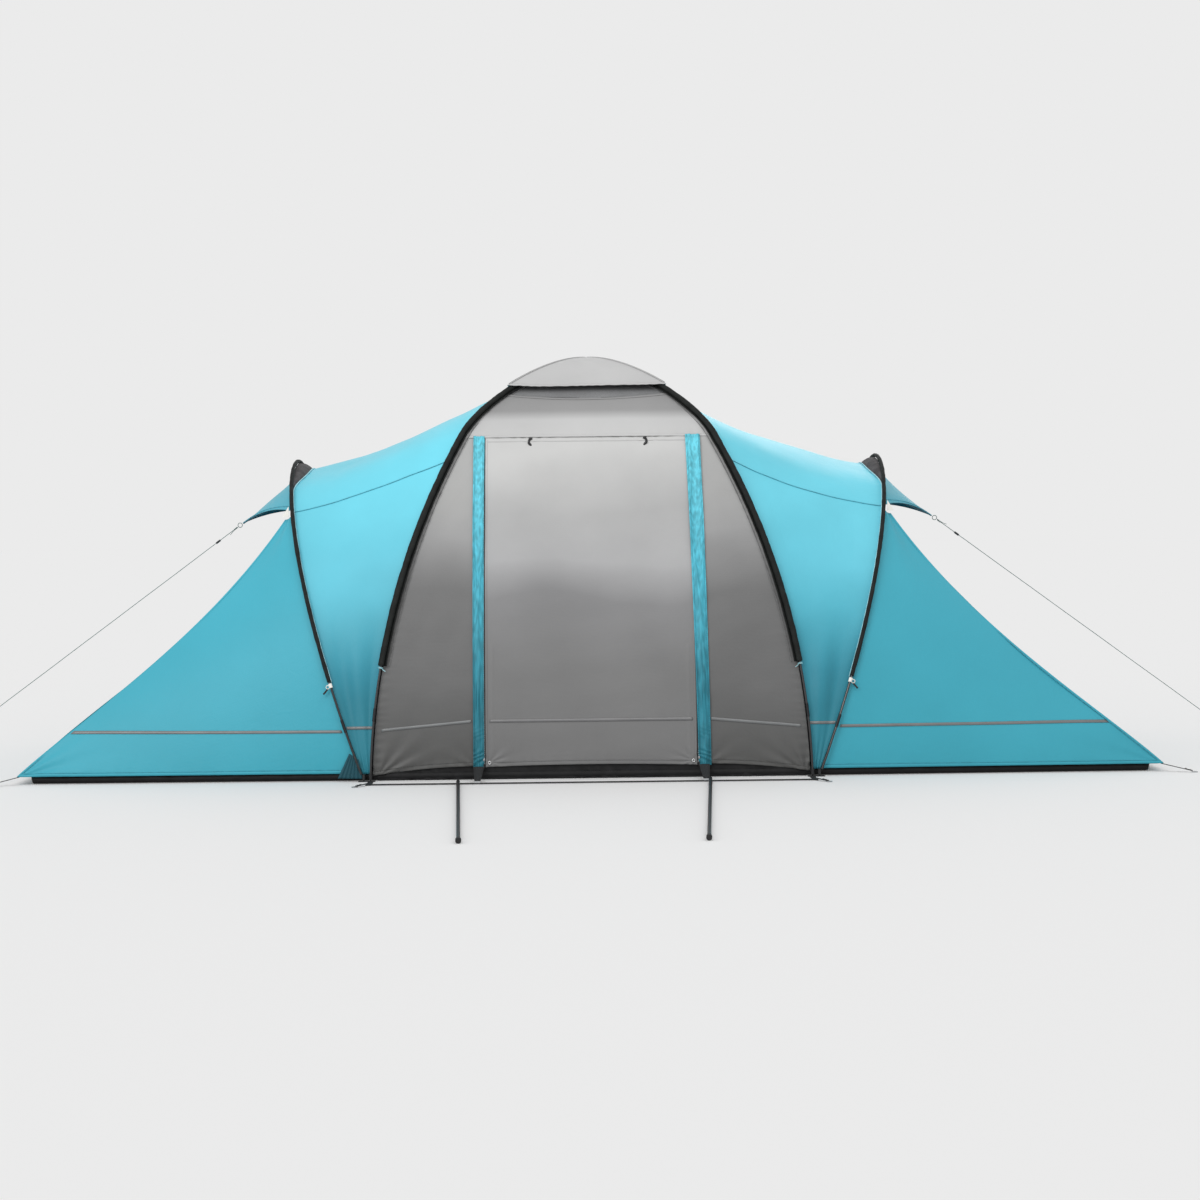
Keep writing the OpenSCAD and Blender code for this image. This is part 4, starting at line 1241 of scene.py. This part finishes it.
def make_end(side):
    """The sleeping bay's end: two triangular sides and the sloping face between them."""
    shape = Shape()
    name = hand_name(side)
    folds = end_folds(END_SEED[side])
    rows = steps(120, 0.4, 0.0, 0.975)
    centre = (side * 1.3, 0, 0.3)
    for face in (FRONT, BACK):
        fn = mirrored(end_side, side, face)
        shape.cloth(fn, steps(90, 0.4), rows, as_drawn(folds, side, face), centre=centre)
        hem = shape.cloth(fn, steps(90, 0.4), steps(2, 0, 0.0, 0.012), as_drawn(folds, side, face),
                          lift=0.0012, centre=centre, counts=False)
        stitches(shape, hem[-1], (0, face, 0.2), 1)
        ridge = turned(seam_pt(rows), side, face)
        shape.tube(ridge, 0.0035, 0.0014, (0.3, face, 0.6), n=8, power=2)
        stitches(shape, ridge + np.array([-side * 0.006, face * 0.001, -0.002]), (0, face, 0.4), 1,
                 size=(0.0055, 0.0020, 0.0008))
    fn = mirrored(end_slope, side)
    shape.cloth(fn, steps(100, 0.3), rows, folds, centre=centre)
    hem = shape.cloth(fn, steps(100, 0.3), steps(2, 0, 0.0, 0.012), folds, lift=0.0012,
                      centre=centre, counts=False)
    stitches(shape, hem[-1], (side, 0, 0.5), 1)
    shape.flat = (shape.flat[0] * 2.2, shape.flat[1])
    shape.make_sheet(f"end_{name}_cloth", ["end", "thread_dark"], "tent",
                     [f"end_panel_{name}"])


def make_gusset(side):
    """Pleated drain gusset low beside the arch's front foot."""
    def fan(s, t):
        low = mix(np.array([ARCH_FOOT_X + 0.004, -FOOT_Y + 0.002, 0.012]),
                  np.array([ARCH_FOOT_X + 0.118, -FOOT_Y + 0.001, 0.016]), s[..., None])
        high = mix(np.array([ARCH_FOOT_X + 0.022, -FOOT_Y + 0.004, 0.100]),
                   np.array([ARCH_FOOT_X + 0.065, -FOOT_Y + 0.005, 0.128]), s[..., None])
        return handed(mix(low, high, t[..., None]), side)
    pleats = lambda p, s, t: 0.0045 * np.abs(np.sin(s * math.pi * 6)) * (1 - 0.4 * t)
    shape = Shape()
    shape.cloth(fan, steps(60, 0), steps(14, 0), pleats, centre=(side * 1.05, 0, 0.05))
    shape.make_sheet(f"gusset_{hand_name(side)}", ["gusset"], "tent", [])


def make_hood(side):
    shape = Shape()

    def fn(s, t):
        return handed(hood_pt(mix(SEAM_A + 0.5, 179.5 - SEAM_A, s), mix(0.02, 0.99, t)), side)

    def folds(p, s, t):
        h = ripple(p, 0.3, 0.0045, 111) * np.sin(math.pi * s)
        return h + 0.003 * np.sin(s * math.pi * 7) * t**2 * (1 - t) * 4
    centre = (side * 1.0, 0, 0.6)
    shape.cloth(fn, steps(70, 0.3), steps(60, 0.2), folds, centre=centre)
    for low, high, line in ((0.0, 0.03, -1), (0.97, 1.0, 0)):
        edge = shape.cloth(fn, steps(2, 0, low, high), steps(60, 0.2), folds, lift=0.0012,
                           centre=centre, counts=False)
        stitches(shape, edge[:, line], (0, 0, 1), 2)
    shape.flat = (shape.flat[0], 2 * shape.area / shape.flat[0])    # the cut is a triangle
    name = hand_name(side)
    # the hood's inner side gets the darker cyan, painted shade under the hood
    shape.make_sheet(f"hood_{name}_cloth", ["end", "painted_underside_shade", "thread_dark"], "tent",
                     [f"hood_{name}"])


def make_end_vent(side):
    lip = arch_pt(np.float64(SEAM_A), INSET)

    def net(s, t):
        p = arch_pt(mix(SEAM_A + 3, 177 - SEAM_A, s), INSET + 0.003)
        low = vec(lip[0] - 0.002, p[..., 1], lip[2] + 0.002)
        return handed(mix(low, p - vec(0.002, 0, 0), t[..., None]), side)
    shape = Shape()
    shape.cloth(net, steps(60, 0), steps(20, 0), lambda p, s, t: ripple(p, 0.2, 0.0015, 121))
    add_hem(shape, net, None, steps(60, 0), steps(2, 0, 0.0, 0.05), slot=1)
    name = hand_name(side)
    shape.make_sheet(f"end_net_{name}", ["mesh", "edging"], "tent", [f"end_vent_{name}"])


FLOOR_X, FLOOR_Y, FLOOR_END_Y = END_X - 0.06, FOOT_Y - 0.026, END_Y - 0.012


def half_width(x):
    """Half the groundsheet's width at x."""
    x = np.abs(x)
    return np.where(x < FOOT_X, FLOOR_Y, mix(FLOOR_Y, FLOOR_END_Y, (x - FOOT_X) / (FLOOR_X - FOOT_X)))


def make_groundsheet():
    """Tub floor with an upturned rim."""
    def floor_sheet(s, t):
        x = FLOOR_X * s
        y = half_width(x) * t
        rim = np.maximum(np.abs(s), np.abs(t)) > 0.9999
        near = np.maximum(np.abs(s) - 0.9975, 0) / 0.0025 + np.maximum(np.abs(t) - 0.994, 0) / 0.006
        return vec(x, y, 0.0035 + np.where(rim, 0.030, 0.012 * np.clip(near, 0, 1)))

    def folds(p, s, t):
        inner = 1 - np.maximum(np.abs(s), np.abs(t)) ** 20
        return np.abs(ripple(p, 0.3, 0.0016, 131)) * inner
    edge = [0.994, 0.9965, 0.998, 0.9992, 1.0]
    across = np.concatenate([-np.array(edge[::-1]), steps(60, 0.2, -0.985, 0.985), edge])
    along = np.concatenate([-np.array(edge[::-1]), steps(170, 0.1, -0.99, 0.99), edge])
    shape = Shape()
    shape.cloth(floor_sheet, along, across, folds, centre=(0, 0, -1))
    shape.make_sheet("groundsheet_cloth", ["floor_cloth"], "tent",
                     ["groundsheet"])


# ---------- inner tents ----------

CABIN_X0, CABIN_X1, CABIN_X2, CABIN_Z = 1.045, 2.350, 1.250, 1.300
CABIN_Y, CABIN_END_Y, CABIN_TOP_Y = 0.92, 0.90, 0.33
CABIN_FLOOR_Z = 0.006
DOOR_Y, DOOR_LOW, DOOR_HIGH = 0.28, 0.09, 1.07


def quad(a, b, c, d):
    """Ruled sheet between the edges a-b, below, and d-c, above."""
    a, b, c, d = (np.asarray(v, float) for v in (a, b, c, d))
    return lambda s, t: mix(mix(a, b, s[..., None]), mix(d, c, s[..., None]), t[..., None])


def cabin_edge(z):
    """Half width of the cabin's front wall at height z."""
    return mix(CABIN_Y, CABIN_TOP_Y, (z - CABIN_FLOOR_Z) / (CABIN_Z - CABIN_FLOOR_Z))


def make_inner_tent(side):
    """Cabin of ruled sheets, with its opening at the living bay left free for the door."""
    x0, x1, x2, z0, z1 = CABIN_X0, CABIN_X1, CABIN_X2, CABIN_FLOOR_Z, CABIN_Z
    walls = []
    for y in (-1, 1):
        walls.append(quad((x0, y * DOOR_Y, z0), (x0, y * CABIN_Y, z0),
                          (x0, y * cabin_edge(DOOR_HIGH), DOOR_HIGH), (x0, y * DOOR_Y, DOOR_HIGH)))
        walls.append(quad((x0, y * CABIN_Y, z0), (x1, y * CABIN_END_Y, z0),
                          (x2, y * CABIN_TOP_Y, z1), (x0, y * CABIN_TOP_Y, z1)))
    walls.append(quad((x0, -DOOR_Y, z0), (x0, DOOR_Y, z0), (x0, DOOR_Y, DOOR_LOW), (x0, -DOOR_Y, DOOR_LOW)))
    high = cabin_edge(DOOR_HIGH)
    walls.append(quad((x0, -high, DOOR_HIGH), (x0, high, DOOR_HIGH),
                      (x0, CABIN_TOP_Y, z1), (x0, -CABIN_TOP_Y, z1)))
    walls.append(quad((x1, -CABIN_END_Y, z0), (x1, CABIN_END_Y, z0),
                      (x2, CABIN_TOP_Y, z1), (x2, -CABIN_TOP_Y, z1)))
    walls.append(quad((x0, -CABIN_TOP_Y, z1), (x0, CABIN_TOP_Y, z1),
                      (x2, CABIN_TOP_Y, z1), (x2, -CABIN_TOP_Y, z1)))
    walls.append(quad((x0, -CABIN_Y, z0), (x0, CABIN_Y, z0),
                      (x1, CABIN_END_Y, z0), (x1, -CABIN_END_Y, z0)))
    shape = Shape()

    def folds(p, s, t):
        hang = 16 * s * (1 - s) * t * (1 - t)
        return -0.010 * hang + ripple(p, 0.25, 0.002, 141) * np.minimum(hang * 2, 1)
    for wall in walls:
        fn = lambda s, t, wall=wall: handed(wall(s, t), side)
        shape.cloth(fn, steps(26, 0.2), steps(26, 0.2), folds, centre=(side * 1.5, 0, 0.5))
    for y in (-1, 1):
        rim = [(x0 - 0.001, y * (DOOR_Y + 0.006), z) for z in np.linspace(DOOR_LOW, DOOR_HIGH, 30)]
        shape.tube(handed(np.array(rim), side), 0.006, 0.0008, (1, 0, 0), n=8, power=3, slot=1)
    shape.flat = (shape.flat[0] * 3.2, shape.flat[1] * 2.4)
    name = hand_name(side)
    shape.make_sheet(f"inner_tent_{name}_cloth", ["inner", "webbing"], "tent",
                     [f"inner_tent_{name}"])


def make_inner_door(side):
    """Zipped cabin door: cloth below, net above."""
    y, low, high = DOOR_Y - 0.003, DOOR_LOW + 0.003, DOOR_HIGH - 0.003
    split = mix(low, high, 0.55)
    x = CABIN_X0 + 0.0022
    shape = Shape()
    for z0, z1, slot in ((low, split, 0), (split, high, 1)):
        wall = quad((x, -y, z0), (x, y, z0), (x, y, z1), (x, -y, z1))
        fn = lambda s, t, wall=wall: handed(wall(s, t), side)
        ease = lambda p, s, t: ripple(p, 0.2, 0.0012, 151) * np.minimum(16 * s * (1 - s) * t * (1 - t), 1)
        shape.cloth(fn, steps(40, 0), steps(36, 0), ease, slot=slot, centre=(side * 9, 0, 0.5))
    border = [(x, -y, low), (x, y, low), (x, y, high), (x, -y, high), (x, -y, low)]
    for a, b in zip(border, border[1:]):
        run = handed(np.array(a) + (np.array(b) - np.array(a)) * np.linspace(0.01, 0.99, 40)[:, None], side)
        shape.tube(run, 0.004, 0.0009, (1, 0, 0), n=8, power=3, slot=2)
    seam = handed(np.array([(x, v, split) for v in np.linspace(-y, y, 30)]), side)
    shape.tube(seam, 0.004, 0.0008, (1, 0, 0), n=8, power=3, slot=2)
    shape.flat = (shape.flat[0], shape.flat[1] * 2)
    name = hand_name(side)
    shape.make_sheet(f"inner_door_{name}_cloth", ["inner", "mesh", "webbing"],
                     f"inner_door_{name}", [f"inner_door_{name}"])


# ---------- trim ----------

def level(fn, s, z, t_high):
    """The t at which each s of a sheet fn reaches its height z, below t_high."""
    t = np.linspace(0, t_high, 60)
    out = np.empty_like(s)
    for i, u in enumerate(s.ravel()):
        heights = fn(np.full(60, u), t)[:, 2]
        out.ravel()[i] = np.interp(z[i], heights, t)
    return out


def stripe(shape, fn, folds, low_s, high_s, z, t_high, n, centre=(0, 0, 0.4)):
    """Reflective tape that follows a sheet; z holds its height at each end."""
    s = np.linspace(low_s, high_s, n)
    z = np.linspace(*z, n)
    bottom, top = level(fn, s, z, t_high), level(fn, s, z + STRIPE_H, t_high)
    tape = lambda a, b: fn(a, mix(np.interp(a, s, bottom), np.interp(a, s, top), b))
    real = lambda p, a, b: folds(p, a, mix(np.interp(a, s, bottom), np.interp(a, s, top), b))
    shape.cloth(tape, s, np.array([0, 0.5, 1.0]), real, lift=STRIPE_LIFT, centre=centre, counts=False)


SIDE_STRIPE_Z = (0.258, 0.222)        # the side panels' tape, beside the strip and at the pole


def make_stripes():
    shape = Shape()
    for side in (LEFT, RIGHT):
        fn = mirrored(side_panel, side)
        stripe(shape, fn, as_drawn(face_folds, side), 0.10, 0.94, SIDE_STRIPE_Z, 0.4, 60)
        for face in (FRONT, BACK):
            centre = (side * 0.9, 0, 0.3)
            fn = bay_roof(side, face)
            folds = as_drawn(roof_folds(ROOF_SEED[side]), side)
            if face < 0:
                stripe(shape, fn, folds, 0.03, 0.97, (STRIPE_Z - 0.004,) * 2, 0.3, 40, centre=centre)
            fn = mirrored(end_side, side, face)
            folds = as_drawn(end_folds(END_SEED[side]), side, face)
            stripe(shape, fn, folds, 0.01, 0.99, (STRIPE_Z - 0.020,) * 2, 0.4, 90, centre=centre)
    stripe(shape, back_panel, back_folds, 0.02, 0.98, (STRIPE_Z,) * 2, 0.4, 90)
    shape.make("stripe_tapes", ["tape"], "tent", ["reflective_stripes"], solid=0.0005)
    door = Shape()
    stripe(door, door_sheet, door_folds, 0.02, 0.98, (STRIPE_Z + 0.020,) * 2, 0.4, 90)
    door.make("door_stripe_tape", ["door_tape"], "door", solid=0.0005)


def ribbon(shape, a, b, width, thick):
    """A flat strap from a to b."""
    k = np.linspace(0, 1, 24)[:, None]
    path = mix(np.asarray(a, float), np.asarray(b, float), k)
    shape.tube(path, width / 2, thick / 2, (0, 0, 1), n=12, power=4)


STRAP_Y = FOOT_Y + BASE_STRAP_OUT
STRAPS = [((FOOT_X - 0.002, -STRAP_Y), (FOOT_X + 0.050, -STRAP_Y - 0.070)),
          ((END_X - 0.006, -END_Y - 0.006), (END_X + 0.128, -END_Y - 0.062))]


def make_straps():
    """Corner straps, sewn back on themselves round their rings."""
    shape = Shape()
    for side, face in CORNERS:
        for k, (start, ring) in enumerate(STRAPS):
            a = np.array([*start, HEM_Z if k else 0.010])
            b = np.array([*ring, 0.0045])
            way = unit(b - a)
            turn = lambda p: turned(p, side, face)
            ribbon(shape, turn(a), turn(b - way * 0.010), 0.017, 0.0018)
            ribbon(shape, turn(b - way * 0.045 + [0, 0, 0.0024]), turn(b - way * 0.011 + [0, 0, 0.0012]),
                   0.017, 0.0016)
            for gap in (0.020, 0.040):
                bar = turn(b - way * gap + np.array([0, 0, 0.0050]))
                across = turn(np.cross(way, [0, 0, 1.0]))
                shape.blocks([bar], [across], [[0, 0, 1.0]], (0.013, 0.0022, 0.0008), 1)
        patch = turn(np.array([FOOT_X + 0.016, -FOOT_Y - 0.001, 0.0022]))
        ribbon(shape, patch - np.array([0.038, 0, 0]), patch + np.array([0.038, 0, 0]), 0.036, 0.002)
        tab = turn(np.array([FOOT_X - 0.003, -STRAP_Y - 0.006, 0.0018]))
        ribbon(shape, tab, tab - np.array([0, face * (BASE_STRAP_OUT - 0.004), 0]), 0.026, 0.0018)
    shape.make("straps", ["webbing", "thread_grey"], "tent", ["corner_straps"])


def make_base_straps():
    shape = Shape()
    for face in (FRONT, BACK):
        y = face * STRAP_Y
        ribbon(shape, (-FOOT_X + 0.005, y, 0.0044), (FOOT_X - 0.005, y, 0.0044), 0.018, 0.0044)
        for x in np.arange(-0.9, 0.91, 0.3):
            shape.blocks([[x, y, 0.0066]], [[0, 1.0, 0]], [[0, 0, 1.0]], (0.014, 0.002, 0.0006), 1)
    shape.make("base_webbing", ["webbing", "thread_grey"], "tent", ["base_straps"])


def make_hooks():
    """Tapered tab below each zip, with the hook that holds it to the base strap."""
    shape = Shape()
    for side in (LEFT, RIGHT):
        k = np.linspace(0, 1, 24)
        x = side * (STRIP_X - 0.001)
        path = vec(x, mix(-FOOT_Y - 0.001, -STRAP_Y + 0.004, k), mix(0.060, 0.010, k**0.8))
        shape.tube(path, mix(0.024, 0.013, k), 0.0016, (0, 0.4, 1), n=12, power=3)
        shape.tube(path + np.array([0, -0.0010, 0.0018]), mix(0.018, 0.009, k), 0.0010, (0, 0.4, 1),
                   n=10, power=3)
        bar = vec(np.linspace(x - 0.014, x + 0.014, 10), -STRAP_Y - 0.002, 0.0085)
        shape.tube(bar, 0.0058, 0.0058, (0, 0, 1), n=12, slot=1)
        shape.ring((x, -STRAP_Y - 0.001, 0.0080), (1, 0, 0), 0.0055, 0.0018, n=18, slot=1)
    shape.make("hook_tabs", ["webbing", "grey_plastic"], "tent", ["strap_hooks"])


def make_ties():
    """Light cord bands round the main sleeves' lower ends, knotted, with a short tail."""
    shape = Shape()
    for side, face in CORNERS:
        w = height_share(SLEEVE_END_Z - 0.010)
        at = turned(leg_pt(np.float64(w)), side, face)
        way = unit(turned(leg_pt(np.float64(w + 0.01)), side, face) - at)
        for turn, r in ((-0.002, 0.0100), (0.002, 0.0102)):
            shape.ring(at + way * turn, way, r, 0.0014, n=20)
        inward = np.array([-side * 0.022, face * 0.006, -0.016])
        shape.tube(at + inward * np.linspace(0.3, 1, 8)[:, None], 0.0016, 0.0016, (0, 0, 1), n=7)
    shape.make("sleeve_cords", ["piping"], "tent", ["sleeve_ties"])


def make_clips():
    """White clip on each arch pole under its sleeve, with the loop that ties it to the fabric."""
    shape = Shape()
    for side, face in CORNERS:
        a = arch_angle(ARCH_SLEEVE_Z - 0.018)
        at = turned(arch_pt(a), side, face)
        way = unit(turned(arch_pt(a + 1), side, face) - at)
        path = at + way * np.linspace(-0.010, 0.010, 10)[:, None]
        shape.tube(path, 0.0088, 0.0088, (1, 0, 0), n=16)
        shape.ring(at + np.array([side * 0.012, face * 0.002, -0.006]), (0.2, 1, 0.1), 0.008, 0.0018)
        strap = at + np.array([side * 0.010, face * 0.001, -0.012]) * np.linspace(1, 3.2, 8)[:, None]
        shape.tube(strap, 0.004, 0.0009, (0, 1, 0), n=8, power=3, slot=1)
    shape.make("pole_clips", ["white_plastic", "webbing"], "tent", ["arch_clips"])


CAD_LOOKS = {
    "pole_main_a": "rod", "pole_main_b": "rod", "pole_arch_left": "rod", "pole_arch_right": "rod",
    "pole_ferrules": "ferrule", "crossing_tie": "webbing", "vent_props": "white_plastic",
    "pole_feet": "black_plastic", "peg_rings": "steel", "guy_rings": "steel",
    "guy_runner_left": "black_plastic", "guy_runner_right": "black_plastic",
    "canopy_pole_left": "tube", "canopy_pole_right": "tube",
    "canopy_cap_left": "rubber", "canopy_cap_right": "rubber",
}


def dress_cad_nodes():
    """Better materials, and softened edges, for the CAD nodes that stay in view."""
    for name, look in CAD_LOOKS.items():
        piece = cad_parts[name]
        piece.data.materials.clear()
        piece.data.materials.append(M[look])
        if name.startswith(("peg_", "guy_r", "canopy_cap", "pole_feet", "vent_props")):
            edge = piece.modifiers.new("edge", "BEVEL")
            edge.width, edge.segments, edge.limit_method = 0.0006, 2, "ANGLE"


# ---------- assembly ----------

for hand in (LEFT, RIGHT):
    make_side_panel(hand)
    make_arch_sleeve(hand)
    make_bay_roof(hand)
    make_end(hand)
    make_hood(hand)
    make_end_vent(hand)
    make_inner_tent(hand)
    make_inner_door(hand)
    make_slider(hand)
    for front_or_back in (FRONT, BACK):
        make_main_sleeve(hand, front_or_back)
for front_or_back in (FRONT, BACK):
    make_skirt(front_or_back)
    make_vent(front_or_back)
make_gusset(LEFT)
for make_piece in (make_top_panel, make_back_panel, make_door, make_eyelets, make_toggles,
        make_strips, make_zips, make_cap, make_groundsheet, make_stripes, make_straps,
        make_base_straps, make_hooks, make_ties, make_clips):
    make_piece()
dress_cad_nodes()
